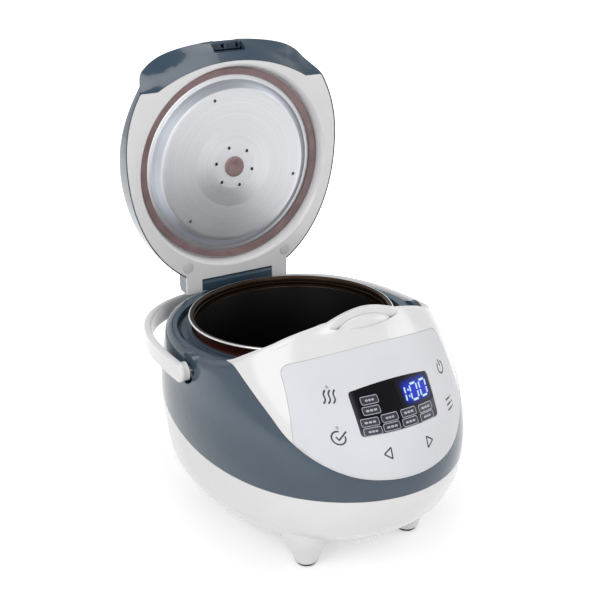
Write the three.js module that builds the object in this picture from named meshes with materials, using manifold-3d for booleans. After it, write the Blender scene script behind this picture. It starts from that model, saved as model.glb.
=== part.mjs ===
// A small rice cooker with its lid standing open. Millimetres, +Z up, front towards -Y.
// Every piece is modelled about the pot's axis, then the whole is centred on its footprint.
import * as THREE from 'three';
import { mergeVertices } from 'three/addons/utils/BufferGeometryUtils.js';
import Module from 'manifold-3d';

const wasm = await Module();
wasm.setup();

// ---------- driving sizes ----------

const rimHeight = 157;

// Reach of the body from the pot's axis: to each side, to the front and to the back.
// Heights are shares of the rim's; squareness is the power of the front's rounded outline.
const bodyStations = [
  { share: 0.1274, side: 79, front: 122, back: 83, squareness: 2 },
  { share: 0.3185, side: 102, front: 158, back: 95, squareness: 2 },
  { share: 0.5414, side: 108.5, front: 171, back: 102, squareness: 2 },
  { share: 0.7643, side: 109, front: 163.5, back: 104.5, squareness: 2 },
  { share: 0.9554, side: 103.5, front: 143, back: 104, squareness: 2.1 },
  { share: 1.0955, side: 97.5, front: 122, back: 102, squareness: 2.15 },
  { share: 1.1911, side: 91, front: 112.5, back: 99, squareness: 2.15 },
  { share: 1.2803, side: 83, front: 107.6, back: 96, squareness: 2.15 },
];
const widestY = -18;
const backSquareness = 2.15;
const fit = 0.3; // gap that seated pieces keep
const shellWall = 2.6;
const shoulderRadius = 3.6;
const lipWidth = 2.6;
const beyond = 300; // length of cutters that pass right through

// Rise of the front panel's crest above the rim, by distance from the middle
const crestPoints = [
  [0, 37.4], [20, 37], [34, 36], [42, 34], [50, 31.4], [58, 28.2], [66, 24.2], [74, 19.8], [82, 14], [89, 8.2], [101.8, 0],
];
const brow = { rise: 6.2, halfWidth: 31 };

// Seam between body shell and base: share of the rim's height against depth
const seamPoints = [
  [-175, 0.519], [-120, 0.513], [-85, 0.525], [-50, 0.551], [-18, 0.592], [12, 0.643], [50, 0.701], [110, 0.752],
];
// Right half of the seam round the front panel from its lowest point up: distance from the middle
// and height against the rim
const bibPoints = [
  [0, -61], [35, -57.8], [58, -48.2], [72.7, -34], [79.5, -19], [84.3, -6], [87.8, 6], [90, 15],
];

const pot = {
  rimRadius: 82, aboveRim: 7.6, rimThickness: 1.8, wallRadius: 78.5, wall: 1.6,
  aboveFloor: 52, bottomRadius: 16, stepHeight: 9, stepDepth: 1,
};
// Depths are below the rim
const tray = {
  deckInnerRadius: 91.2, grooveDepth: 6.5, bandRadius: 88.6, bandDepth: 3.5, wall: 1.2,
  ringRadius: 82.6, ringDepth: 2, openingRadius: 79.9, underside: 9.4,
};
const liner = { radius: 80.6, wall: 0.9, ledge: 5 };
const plate = { radius: 67.5, thickness: 11.4, hubRadius: 17, heaterRadius: 50, heaterThickness: 4.5 };
const sensor = {
  cupRadius: 14.5, cupHeight: 9, stemRadius: 5, stemLength: 17, travel: 2, bracketDrop: 27,
  bracketThickness: 1.6, postWidth: 6,
};

// The lid's heights are above the plane of its white panel
const lid = {
  aboveRim: 1.5, side: 96.5, roundFront: 118, back: 104, frontArcRadius: 240, front: 102.6, cornerPower: 30,
  skirtHeight: 14, domeRise: 31.5, domePower: 2.3, wall: 2.4, edge: 1.5, chinRise: 18, chinStart: 69.5,
  chinEnd: 84, creaseRadius: 99.6, creaseRise: 11, panelArcRadius: 130, panelArcFront: 89, panelThickness: 2,
};
const recess = { mouthRadius: 87.7, radius: 85.2, ceiling: 9.7, ceilingWall: 2 };
const hinge = {
  y: 99.6, aboveRim: 6.2, openAngle: 86.5, knuckleRadius: 10.5, knuckleBack: 6.4, legRoot: 18.5, legInside: 34,
  legOutside: 48.3, pinRadius: 2, pinLength: 92, running: 0.3, bridgeRadius: 4.4, bridgeDepth: 8.6, sideGap: 0.6,
  sweepGap: 0.8, springMean: 2.85, springWire: 0.5, springPocket: 14,
};

const disc = {
  radius: 77.6, ringRadius: 75.6, ringRise: 8, plateauRadius: 64.7, plateauRise: 4.5,
  slopeRadius: 70.5, thickness: 0.9, middleRadius: 40, centreRadius: 19.5, zoneStep: 0.35,
  ventCount: 6, ventRadius: 1.1, ventCircle: 14.5, dripCount: 3, dripRadius: 0.9, dripCircle: 59,
  dripAngle: -15.5,
};
const gasket = { outerRadius: 82.6, lipDrop: 1.5, thickness: 1.2, innerRadius: 75.9 };
const grommet = { radius: 8.8, drop: 1.6, boreRadius: 3.4, neckRadius: 6 };
const stud = { flangeRadius: 9, flangeThickness: 1.4, collar: 1.2 };
const bumper = { radius: 4.6, across: 46.5, back: 81.5, proud: 0.5, depth: 1.6 };

const vent = {
  y: 40, capRadius: 15.5, capHeight: 6, wall: 1.6, tubeRadius: 6, tubeWall: 1.4, wellDepth: 4,
  holeCount: 6, holeRadius: 1.2, holeCircle: 9, portRadius: 4,
};

// Heights of the button and the latch are above the rim
const button = {
  halfWidth: 29, cornerY: -107.2, backSag: 1, frontSag: 5.1, crownHeight: 27, crownY: -105,
  crownSide: 25.6, crownDepth: 7.4, crownRise: 11.4, shelf: 2.6, gap: 0.5, travel: 3, legWidth: 2.4,
  legInset: 0.9, legThickness: 1.8, legBottom: 10, wedge: 0.9,
};
const latch = {
  armWidth: 18, armThickness: 1.8, armY: -109.8, noseReach: -100.4, swingRoom: 1.5, noseThickness: 2.2,
  pivotHeight: 6, barrelRadius: 2.4, pinRadius: 1.2, lugHeight: 12, lugRadius: 0.9,
  catchHeight: 17.6, catchThickness: 2.4, catchDepth: 1.8, mouthHalfWidth: 14, mouthDepth: 11,
  mouthTop: 28, bracketHalfWidth: 16.5, bracketFloor: 1.2, bracketWall: 1.6, bracketFront: -116,
  windowMargin: 1.2, windowTop: 26.4, windowBottom: 17,
};
const ridgeWall = 2.2;
const lidClearance = 1;

const fascia = { thickness: 1.2, cornerRise: 10.5, topArch: 9.3, topHalfWidth: 67, cornerRadius: 6, margin: 1.2 };
const display = {
  topDrop: 5, topArch: 4.6, tall: 25.2, bottomArch: 0.8, halfWidthTop: 34.5,
  halfWidthBottom: 32, cornerRadius: 3, glass: 1.6, moduleWidth: 60, moduleHeight: 23,
  moduleThickness: 4.5, moduleDepth: 8.8, frameWidth: 2.5,
};
const board = { width: 76, height: 33, thickness: 1.6, gap: 0.4 };

const leg = { x: 46, frontY: -97, backY: 60, topRadius: 25, bottomRadius: 9.2, bottomHeight: 2.4, topHeight: 34 };
const pad = { radius: 7.6, thickness: 3.4 };
const floorPan = { thickness: 2.6, holeRadius: 58, edgeRadius: 3 };
const cover = { thickness: 2, slotCount: 7, slotWidth: 3, slotLength: 44, slotPitch: 8, postRadius: 3, boardLift: 9 };
const mainBoard = { width: 86, depth: 62, thickness: 1.6 };
const inlet = { underLiner: 2.6, width: 31, tall: 23, depth: 20, wall: 3, mouthDepth: 14, pinRadius: 1.2, pinSpread: 7, pinLift: 2 };

const handle = {
  pivotY: -27, pivotDrop: 10.3, sideGap: 3.46, backGap: 9, squareness: 2.77, tilt: -1.5,
  thickness: 5.6, band: 15.5, edge: 2, discRadius: 7.2, discInset: 2.4, recessRadius: 10,
  padRadius: 13, padDepth: 6, pinRadius: 2.6, pinReach: 4,
};

const shellSegments = 40; // round the housings
const roundSegments = 36; // round turned parts
const frontSegments = 60; // round the front panel, of which only the front is kept

// ---------- solids ----------

// Closed solid from any closed geometry, with its faces turned outwards
function solid(geometry) {
  const bare = geometry.clone();
  bare.deleteAttribute('normal');
  bare.deleteAttribute('uv');
  const merged = mergeVertices(bare, 1e-4);
  const kept = [];
  const corners = merged.index.array;
  for (let at = 0; at < corners.length; at += 3) {
    const [a, b, c] = corners.subarray(at, at + 3);
    if (a !== b && b !== c && c !== a) kept.push([a, b, c]);
  }
  const vertProperties = new Float32Array(merged.attributes.position.array);
  const build = (faces) => new wasm.Manifold(
    new wasm.Mesh({ numProp: 3, vertProperties, triVerts: new Uint32Array(faces.flat()) }));
  const body = build(kept);
  return body.volume() > 0 ? body : build(kept.map(([a, b, c]) => [c, b, a]));
}

function geometryOf(body) {
  const { vertProperties, triVerts, numProp } = body.getMesh();
  const geometry = new THREE.BufferGeometry();
  const corners = new Float32Array(triVerts.length * 3);
  triVerts.forEach((vertex, at) => corners.set(vertProperties.subarray(vertex * numProp, vertex * numProp + 3), at * 3));
  geometry.setAttribute('position', new THREE.BufferAttribute(corners, 3));
  geometry.computeVertexNormals();
  return geometry;
}

const join = (...bodies) => bodies.reduce((sum, next) => sum.add(next));
const cut = (body, ...tools) => tools.reduce((left, tool) => left.subtract(tool), body);

function box(width, depth, height, x, y, z) {
  return solid(new THREE.BoxGeometry(width, depth, height).translate(x, y, z));
}

function rod(radius, length, axis, x, y, z, sides = 24) {
  const geometry = new THREE.CylinderGeometry(radius, radius, length, sides);
  if (axis === 'x') geometry.rotateZ(Math.PI / 2);
  if (axis === 'z') geometry.rotateX(Math.PI / 2);
  return solid(geometry.translate(x, y, z));
}

// Outline in x and y, raised from one height to another
function prismUp(shape, bottom, top) {
  return solid(new THREE.ExtrudeGeometry(shape, { depth: top - bottom, bevelEnabled: false, curveSegments: 12 })
    .translate(0, 0, bottom));
}

// Outline in x and z, carried from front to back
function prismBack(shape, front, back) {
  return solid(new THREE.ExtrudeGeometry(shape, { depth: back - front, bevelEnabled: false, curveSegments: 12 })
    .rotateX(Math.PI / 2).translate(0, back, 0));
}

// Outline in y and z, carried from left to right
function prismAcross(shape, left, right) {
  return solid(new THREE.ExtrudeGeometry(shape, { depth: right - left, bevelEnabled: false, curveSegments: 12 })
    .rotateX(Math.PI / 2).rotateZ(Math.PI / 2).translate(left, 0, 0));
}

// Profile of [radius, height] pairs turned about the pot's axis
function turned(profile, segments = roundSegments) {
  const points = profile.map(([radius, height]) => new THREE.Vector2(radius, height));
  return solid(new THREE.LatheGeometry(points, segments).rotateX(Math.PI / 2));
}

// A lathe whose rings each follow their own rule, from a direction round the body to a point.
// Closed rings make a hoop; open ones start and end at a point on the axis.
function ringLoft(rings, closed, segments = shellSegments) {
  const rules = closed ? [...rings, rings[0]] : rings;
  const seed = rules.map((rule, at) => new THREE.Vector2(1, at));
  const geometry = new THREE.LatheGeometry(seed, segments);
  const position = geometry.attributes.position;
  for (let step = 0; step <= segments; step += 1) {
    const angle = (2 * Math.PI * (step % segments)) / segments;
    rules.forEach((rule, at) => position.setXYZ(step * rules.length + at, ...rule(angle)));
  }
  return solid(geometry);
}

// ---------- curves ----------

const planeHeight = rimHeight + lid.aboveRim;
const panelTop = planeHeight + lid.panelThickness;
const skirtTop = planeHeight + lid.skirtHeight;
const potTop = rimHeight + pot.aboveRim;
const hingeHeight = rimHeight + hinge.aboveRim;
const handleHeight = rimHeight - handle.pivotDrop;
const plateauHeight = planeHeight + disc.plateauRise;
const ringHeight = planeHeight + disc.ringRise;
const crownHeight = rimHeight + button.crownHeight;
const latchHeight = (rise) => rimHeight + rise;
const displayTop = rimHeight - display.topDrop;
const displayBottom = displayTop - display.tall;
const floorHeight = bodyStations[0].share * rimHeight;
const potBottom = floorHeight + pot.aboveFloor;

// Smooth value through rows of [place, value], with each slope taken from its neighbours
function through(rows, place) {
  const last = rows.length - 1;
  const held = THREE.MathUtils.clamp(place, rows[0][0], rows[last][0]);
  const slope = (at) => {
    const before = rows[Math.max(at - 1, 0)];
    const after = rows[Math.min(at + 1, last)];
    return (after[1] - before[1]) / (after[0] - before[0]);
  };
  const at = Math.max(rows.findIndex((row) => row[0] >= held), 1) - 1;
  const [[x0, y0], [x1, y1]] = [rows[at], rows[at + 1]];
  const span = x1 - x0;
  const t = (held - x0) / span;
  const [t2, t3] = [t * t, t * t * t];
  return (2 * t3 - 3 * t2 + 1) * y0 + (t3 - 2 * t2 + t) * span * slope(at)
    + (3 * t2 - 2 * t3) * y1 + (t3 - t2) * span * slope(at + 1);
}

const stationRows = (key) => bodyStations.map((station) => [station.share * rimHeight, station[key]]);
const bodyRows = {
  side: stationRows('side'), front: stationRows('front'), back: stationRows('back'), squareness: stationRows('squareness'),
};

function bodyReach(height, inset = 0) {
  return {
    side: through(bodyRows.side, height) - inset,
    front: through(bodyRows.front, height) - inset,
    back: through(bodyRows.back, height) - inset,
    squareness: through(bodyRows.squareness, height),
  };
}

// Outline of the well in the top of the body that the lid drops into, grown by a margin
const wellReach = (grow = 0) => ({
  ...lidReach(-lidClearance - grow),
  back: through(bodyRows.back, rimHeight) - shoulderRadius - lipWidth + grow,
});

// The lid's outline: round at the sides, with its front cut by a flatter arc
const lidReach = (inset = 0) => ({
  side: lid.side - inset, front: lid.roundFront - inset, back: lid.back - inset, squareness: 2,
  arcRadius: lid.frontArcRadius - inset, arcFront: lid.front - inset,
});

// Share of the way from the middle to a point at which an arc bowed to the front is met
function shareToArc(x, y, radius, front) {
  const centre = radius - front;
  const run = y - widestY;
  const a = x * x + run * run;
  const b = 2 * run * (widestY - centre);
  const c = (widestY - centre) ** 2 - radius * radius;
  return (-b + Math.sqrt(b * b - 4 * a * c)) / (2 * a);
}

// Point of the rounded outline in one direction; angle 0 is the front and a quarter turn the right
function outline(angle, reach) {
  const across = Math.sin(angle);
  const along = -Math.cos(angle);
  const power = 2 / (along < 0 ? reach.squareness : backSquareness);
  const depth = along < 0 ? reach.front + widestY : reach.back - widestY;
  const x = reach.side * Math.sign(across) * Math.abs(across) ** power;
  const run = depth * Math.sign(along) * Math.abs(along) ** power;
  if (along >= 0 || !reach.arcRadius) return [x, widestY + run];
  const share = shareToArc(x, widestY + run, reach.arcRadius, reach.arcFront);
  const held = (1 + share ** -lid.cornerPower) ** (-1 / lid.cornerPower);
  return [x * held, widestY + run * held];
}

const bodyPoint = (angle, height, inset = 0) => [...outline(angle, bodyReach(height, inset)), height];

// Point of a circle about the pot's axis, in the direction of a point of the body
function circlePoint(angle, radius, height) {
  const [x, y] = outline(angle, bodyReach(rimHeight));
  const scale = radius / Math.hypot(x, y);
  return [x * scale, y * scale, height];
}

const circle = (radius, height) => (angle) => circlePoint(angle, radius, height);

const seamHeight = (y) => through(seamPoints, y) * rimHeight;

function seamAt(angle) {
  let height = seamPoints[0][1] * rimHeight;
  for (let pass = 0; pass < 3; pass += 1) height = seamHeight(bodyPoint(angle, height)[1]);
  return height;
}

const crestHeight = (x) => rimHeight + through(crestPoints, Math.abs(x));

function rimAt(angle) {
  if (Math.cos(angle) <= 0) return rimHeight;
  let height = rimHeight;
  for (let pass = 0; pass < 4; pass += 1) height = crestHeight(bodyPoint(angle, height)[0]);
  return height;
}

const fractions = (count) => Array.from({ length: count + 1 }, (entry, at) => at / count);
const arcSteps = fractions(3).map((share) => (share * Math.PI) / 2);

// ---------- materials ----------

const finishes = {
  whitePlastic: { color: 0xe9e9ea, roughness: 0.28, metalness: 0 },
  slatePlastic: { color: 0x5e7482, roughness: 0.22, metalness: 0 },
  palePlastic: { color: 0xdfe2e8, roughness: 0.3, metalness: 0 },
  darkGlass: { color: 0x16161c, roughness: 0.08, metalness: 0 },
  greyPlastic: { color: 0xc4c4c4, roughness: 0.5, metalness: 0 },
  blackPlastic: { color: 0x1b1b1d, roughness: 0.5, metalness: 0 },
  silicone: { color: 0x8c6f70, roughness: 0.55, metalness: 0 },
  rubber: { color: 0x3a3a3c, roughness: 0.8, metalness: 0 },
  aluminium: { color: 0xd4d5d9, roughness: 0.3, metalness: 1 },
  steel: { color: 0xb5b7ba, roughness: 0.3, metalness: 1 },
  coatedMetal: { color: 0x4a3026, roughness: 0.35, metalness: 0.6 },
  circuitBoard: { color: 0x1f5d3a, roughness: 0.5, metalness: 0 },
};

function piece(name, body, finish) {
  const mesh = new THREE.Mesh(geometryOf(body), new THREE.MeshStandardMaterial(finishes[finish]));
  mesh.name = name;
  return mesh;
}

// ---------- body ----------

function bodyShell() {
  const wallRows = fractions(4);
  const outer = wallRows.map((share) => (angle) => {
    const bottom = seamAt(angle) + fit;
    return bodyPoint(angle, bottom + share * (rimAt(angle) - shoulderRadius - bottom));
  });
  const shoulder = arcSteps.slice(1).map((turn) => (angle) => {
    const drop = shoulderRadius * (1 - Math.sin(turn));
    return bodyPoint(angle, rimAt(angle) - drop, shoulderRadius * (1 - Math.cos(turn)));
  });
  const lip = [0, shellWall].map((drop) => (angle) => (
    [...outline(angle, wellReach()), rimAt(angle) - drop]));
  const inner = wallRows.slice().reverse().map((share) => (angle) => {
    const bottom = seamAt(angle) + fit;
    return bodyPoint(angle, bottom + share * (rimAt(angle) - shoulderRadius - shellWall - bottom), shellWall);
  });
  const shell = ringLoft([...outer, ...shoulder, ...lip, ...inner], true);
  return cut(
    join(shell, handlePads()),
    inFront(bibShape(fit)),
    ...handleSockets(),
    knuckleRoom(-1),
    knuckleRoom(1),
  );
}

const frontLimit = -30; // the front pieces lie ahead of this depth
const inFront = (shape) => prismBack(shape, -beyond, frontLimit);

// Closed outline in x and z of the front panel, grown outwards by a margin
function bibShape(grow) {
  const top = beyond;
  const right = bibPoints.map(([x, height]) => {
    const lean = x / bibPoints[bibPoints.length - 1][0];
    return new THREE.Vector2(x + grow * lean, rimHeight + height - grow * (1 - lean));
  });
  const left = right.slice(1).reverse().map((point) => new THREE.Vector2(-point.x, point.y));
  const edge = new THREE.SplineCurve([...left, ...right]).getPoints(24);
  const last = edge[edge.length - 1];
  return new THREE.Shape([...edge, new THREE.Vector2(last.x, top), new THREE.Vector2(-last.x, top)]);
}

function knuckleRoom(side) {
  const width = hinge.legOutside - hinge.legInside + 2 * fit;
  const middle = (side * (hinge.legInside + hinge.legOutside)) / 2;
  const corner = Math.hypot(hinge.knuckleBack, hingeHeight - planeHeight);
  return rod(corner + hinge.sweepGap, width, 'x', middle, hinge.y, hingeHeight, 24);
}

const handleSide = () => through(bodyRows.side, handleHeight);
const bailHalfWidth = () => handleSide() + handle.sideGap;
const bailLength = () => hinge.y + hinge.knuckleBack + handle.backGap - handle.pivotY;

// Thick pads inside the walls that carry the handle's pins
function handlePads() {
  const top = rimHeight - shellWall;
  const bottom = handleHeight - handle.padRadius - 1;
  const core = ringLoft([
    () => [0, 0, bottom],
    ...fractions(3).map((share) => (angle) => bodyPoint(angle, bottom + share * (top - bottom), shellWall / 2)),
    () => [0, 0, top],
  ], false);
  const reach = handleSide() - shellWall - handle.padDepth;
  return join(...[-1, 1].map((side) => (
    rod(handle.padRadius, 40, 'x', side * (reach + 20), handle.pivotY, handleHeight, 20).intersect(core))));
}

const socketFloor = () => bailHalfWidth() - handle.discInset - 3;

function handleSockets() {
  return [-1, 1].flatMap((side) => [
    rod(handle.recessRadius, 20, 'x', side * (socketFloor() + 10), handle.pivotY, handleHeight, 24),
    rod(handle.pinRadius + fit / 2, 40, 'x', side * socketFloor(), handle.pivotY, handleHeight, 12),
  ]);
}

function baseShell() {
  const pan = floorPan;
  const bottom = floorHeight;
  const insideBottom = bottom + pan.thickness;
  const rows = fractions(3);
  const edge = arcSteps.slice(0, 3).map((turn) => (angle) => (
    bodyPoint(angle, bottom + pan.edgeRadius * (1 - Math.cos(turn)), pan.edgeRadius * (1 - Math.sin(turn)))));
  const outer = rows.map((share) => (angle) => {
    const start = bottom + pan.edgeRadius;
    return bodyPoint(angle, start + share * (seamAt(angle) - start));
  });
  const inner = rows.slice().reverse().map((share) => (angle) => (
    bodyPoint(angle, insideBottom + share * (seamAt(angle) - insideBottom), shellWall)));
  const hole = [insideBottom, bottom].map((height) => circle(pan.holeRadius, height));
  const shell = ringLoft([...edge, ...outer, ...inner, ...hole], true);
  const hollow = ringLoft([
    (angle) => [0, 0, insideBottom],
    ...rows.map((share) => (angle) => (
      bodyPoint(angle, insideBottom + share * (seamAt(angle) + 10 - insideBottom), shellWall / 2))),
    (angle) => [0, 0, seamHeight(widestY)],
  ], false);
  const coverRoom = rod(pan.holeRadius, insideBottom - bottom, 'z', 0, 0, (insideBottom + bottom) / 2, roundSegments);
  const legs = legPlaces().map(({ x, y }) => cut(legSolid(x, y), hollow, coverRoom));
  return cut(join(shell, ...legs), ...legPlaces().map(padRoom), inletRoom());
}

const legPlaces = () => [leg.frontY, leg.backY].flatMap((y) => [-leg.x, leg.x].map((x) => ({ x, y })));

function legSolid(x, y) {
  const height = leg.topHeight - leg.bottomHeight;
  const cone = new THREE.CylinderGeometry(leg.topRadius, leg.bottomRadius, height, 16).rotateX(Math.PI / 2);
  return solid(cone.translate(x, y, (leg.topHeight + leg.bottomHeight) / 2));
}

const padRoom = ({ x, y }) => rod(pad.radius + fit, 2 * (pad.thickness + fit - leg.bottomHeight), 'z', x, y, leg.bottomHeight, 16);

function footPad({ x, y }) {
  const profile = [[0, 0], [pad.radius - 0.8, 0], [pad.radius, 0.8], [pad.radius, pad.thickness], [0, pad.thickness]];
  return turned(profile, 16).translate([x, y, 0]);
}

function bottomCover() {
  const bottom = floorHeight + fit;
  const radius = floorPan.holeRadius - fit;
  const discBody = turned([[0, bottom], [radius, bottom], [radius, bottom + cover.thickness], [0, bottom + cover.thickness]]);
  const slots = fractions(cover.slotCount - 1).map((share) => {
    const x = (share - 0.5) * cover.slotPitch * (cover.slotCount - 1);
    return box(cover.slotWidth, cover.slotLength, 20, x, 0, bottom);
  });
  const posts = boardCorners().map(([x, y]) => (
    rod(cover.postRadius, cover.boardLift + 0.5, 'z', x, y, bottom + cover.thickness + cover.boardLift / 2 - 0.25, 16)));
  return join(cut(discBody, ...slots), ...posts);
}

const boardInset = 5;
const boardCorners = () => [-1, 1].flatMap((sideX) => [-1, 1].map((sideY) => (
  [sideX * (mainBoard.width / 2 - boardInset), sideY * (mainBoard.depth / 2 - boardInset)])));
const mainBoardHeight = () => floorHeight + fit + cover.thickness + cover.boardLift + fit;

function powerBoard() {
  const bottom = mainBoardHeight();
  const top = bottom + mainBoard.thickness;
  const relay = { width: 18, depth: 15, height: 13 };
  const transformer = { width: 24, depth: 20, height: 15 };
  const capacitor = { radius: 5, height: 11 };
  return join(
    box(mainBoard.width, mainBoard.depth, mainBoard.thickness, 0, 0, (bottom + top) / 2),
    box(relay.width, relay.depth, relay.height, -30, 18, top + relay.height / 2 - 0.2),
    box(transformer.width, transformer.depth, transformer.height, 27, 20, top + transformer.height / 2 - 0.2),
    ...[-30, -17, -4].map((x) => rod(capacitor.radius, capacitor.height, 'z', x, -16, top + capacitor.height / 2 - 0.2, 12)),
  );
}

// The inlet's face is level with the wall at its lower edge, and set in above it
const inletHeight = () => plateBottom() - fit - liner.wall - inlet.underLiner - inlet.tall / 2;
const inletFace = () => through(bodyRows.back, inletHeight() - inlet.tall / 2) - fit;

function inletRoom() {
  return box(inlet.width + 2 * fit, 30, inlet.tall + 2 * fit, 0, inletFace(), inletHeight());
}

function powerInlet() {
  const { width, tall, depth, wall, mouthDepth, pinRadius, pinSpread } = inlet;
  const height = inletHeight();
  const face = inletFace();
  const housing = box(width, depth, tall, 0, face - depth / 2, height);
  const mouth = box(width - 2 * wall, 2 * mouthDepth, tall - 2 * wall, 0, face, height);
  const pins = [-pinSpread, 0, pinSpread].map((x) => {
    const lift = x === 0 ? inlet.pinLift : -inlet.pinLift;
    return rod(pinRadius, mouthDepth, 'y', x, face - mouthDepth / 2 - 1.5, height + lift, 10);
  });
  return join(cut(housing, mouth), ...pins);
}

function rimTray() {
  const deck = (height) => (angle) => [...outline(angle, wellReach(-fit)), height];
  const wellRadius = tray.deckInnerRadius + tray.wall;
  const hoop = ringLoft([
    deck(rimHeight - tray.wall), deck(rimHeight),
    circle(tray.deckInnerRadius, rimHeight), circle(tray.deckInnerRadius, rimHeight - tray.grooveDepth),
    circle(tray.bandRadius, rimHeight - tray.grooveDepth), circle(tray.bandRadius, rimHeight - tray.bandDepth),
    circle(tray.ringRadius, rimHeight - tray.bandDepth - 0.9), circle(tray.ringRadius, rimHeight - tray.ringDepth),
    circle(tray.openingRadius, rimHeight - tray.ringDepth), circle(tray.openingRadius, rimHeight - tray.underside),
    circle(wellRadius, rimHeight - tray.underside), circle(wellRadius, rimHeight - tray.wall),
  ], true);
  return cut(hoop, knuckleRoom(-1), knuckleRoom(1));
}

// ---------- front ----------

function browAt(x) {
  const share = Math.min(Math.abs(x) / brow.halfWidth, 1);
  return brow.rise * (1 - share * share);
}

function crestAt(angle, withBrow) {
  let height = rimAt(angle);
  const x = bodyPoint(angle, height)[0];
  if (withBrow && Math.cos(angle) > 0) height += browAt(x);
  return height;
}

function frontPanel() {
  const lowest = rimHeight + bibPoints[0][1] - 6;
  const edgeRadius = 1.4;
  const rows = fractions(5);
  const outer = rows.map((share) => (angle) => (
    bodyPoint(angle, lowest + share * (crestAt(angle, true) - edgeRadius - lowest))));
  const crest = arcSteps.slice(1).map((turn) => (angle) => {
    const drop = edgeRadius * (1 - Math.sin(turn));
    return bodyPoint(angle, crestAt(angle, true) - drop, edgeRadius * (1 - Math.cos(turn)));
  });
  const trayGap = rimHeight + fit;
  const lidSide = [(angle) => crestAt(angle, true), () => trayGap].map((height) => (angle) => (
    [...outline(angle, wellReach()), height(angle)]));
  const hollowTop = (angle) => crestAt(angle, false) - shellWall - 1;
  const innerSide = [() => trayGap, hollowTop].map((height) => (angle) => (
    [...outline(angle, wellReach(ridgeWall)), height(angle)]));
  const inner = rows.slice().reverse().map((share) => (angle) => (
    bodyPoint(angle, lowest + share * (hollowTop(angle) - lowest), shellWall)));
  const whole = ringLoft([...outer, ...crest, ...lidSide, ...innerSide, ...inner], true, frontSegments);
  const pocket = fasciaPocket();
  return cut(
    whole.intersect(inFront(bibShape(0))),
    pocket,
    prismUp(lensShape(0), rimHeight + button.legBottom, beyond),
    inFront(displayShape(fit)),
    latchWindow(),
  );
}

// Two arcs that meet at the corners, one bowed to the front and one to the back, moved in by an inset
function lensShape(inset) {
  const half = button.halfWidth;
  const radiusOf = (sag) => (half * half + sag * sag) / (2 * sag);
  const front = { centre: button.cornerY - button.frontSag + radiusOf(button.frontSag), radius: radiusOf(button.frontSag) - inset };
  const back = { centre: button.cornerY + button.backSag - radiusOf(button.backSag), radius: radiusOf(button.backSag) - inset };
  const meetingY = (front.centre ** 2 - back.centre ** 2 - front.radius ** 2 + back.radius ** 2)
    / (2 * (front.centre - back.centre));
  const frontSweep = Math.acos((front.centre - meetingY) / front.radius);
  const backSweep = Math.acos((meetingY - back.centre) / back.radius);
  const quarter = Math.PI / 2;
  const shape = new THREE.Shape();
  shape.absarc(0, front.centre, front.radius, -quarter - frontSweep, -quarter + frontSweep, false);
  shape.absarc(0, back.centre, back.radius, quarter - backSweep, quarter + backSweep, false);
  return shape;
}

// Lens-shaped cap on two legs, whose wedges push the latch's lugs forward as it goes down
function releaseButton() {
  const bottom = hookTop() + latch.swingRoom + button.travel;
  const crown = solid(new THREE.SphereGeometry(1, 32, 16).rotateX(Math.PI / 2)
    .scale(button.crownSide, button.crownDepth, button.crownRise)
    .translate(0, button.crownY, crownHeight));
  const shelfTop = crownHeight + button.shelf;
  const shelf = box(4 * button.halfWidth, 4 * button.halfWidth, 2 * (shelfTop - bottom), 0, button.crownY, bottom);
  const cap = prismUp(lensShape(button.gap), bottom, crownHeight + button.crownRise + 1).intersect(join(crown, shelf));
  return join(cap, buttonLeg(-1, bottom), buttonLeg(1, bottom));
}

function buttonLeg(side, bottom) {
  const x = side * (latch.armWidth / 2 + button.legInset + button.legWidth / 2);
  const front = latch.armY + latch.lugRadius + fit;
  const back = front + button.legThickness;
  const shape = new THREE.Shape([
    new THREE.Vector2(front, latchHeight(button.legBottom)), new THREE.Vector2(back, latchHeight(button.legBottom)),
    new THREE.Vector2(back, bottom + 0.5), new THREE.Vector2(front - button.wedge, bottom + 0.5),
    new THREE.Vector2(front - button.wedge, latchHeight(latch.lugHeight) + button.travel + 1),
    new THREE.Vector2(front, latchHeight(latch.lugHeight) + 1),
  ]);
  return prismAcross(shape, x - button.legWidth / 2, x + button.legWidth / 2);
}

function fasciaShape(inset) {
  const half = fascia.topHalfWidth - inset;
  const top = rimHeight + fascia.cornerRise - inset;
  const corner = fascia.cornerRadius;
  const sideLimit = rimHeight + bibPoints[3][1];
  const edge = bibShape(-fascia.margin - inset).getPoints();
  const lower = edge.filter((point) => Math.abs(point.x) <= half + corner && point.y < sideLimit);
  const shape = new THREE.Shape();
  shape.moveTo(lower[0].x, lower[0].y);
  lower.slice(1).forEach((point) => shape.lineTo(point.x, point.y));
  shape.lineTo(half, top - corner);
  shape.quadraticCurveTo(half, top, half - corner, top + fascia.topArch * 0.25);
  shape.quadraticCurveTo(0, top + fascia.topArch * 1.75, -half + corner, top + fascia.topArch * 0.25);
  shape.quadraticCurveTo(-half, top, -half, top - corner);
  shape.closePath();
  return shape;
}

function surfaceLayer(outerInset, innerInset) {
  const bottom = rimHeight + bibPoints[0][1] - 6;
  const top = rimHeight + fascia.cornerRise + 2 * fascia.topArch;
  const rows = fractions(5).map((share) => bottom + share * (top - bottom));
  const rings = [
    ...rows.map((height) => (angle) => bodyPoint(angle, height, outerInset)),
    ...rows.slice().reverse().map((height) => (angle) => bodyPoint(angle, height, innerInset)),
  ];
  return ringLoft(rings, true, frontSegments);
}

const fasciaPocket = () => surfaceLayer(-3, fascia.thickness + fit).intersect(inFront(fasciaShape(-fit)));

function controlFascia() {
  const layer = surfaceLayer(0, fascia.thickness).intersect(inFront(fasciaShape(0)));
  return cut(layer, inFront(displayShape(fit)));
}

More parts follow.
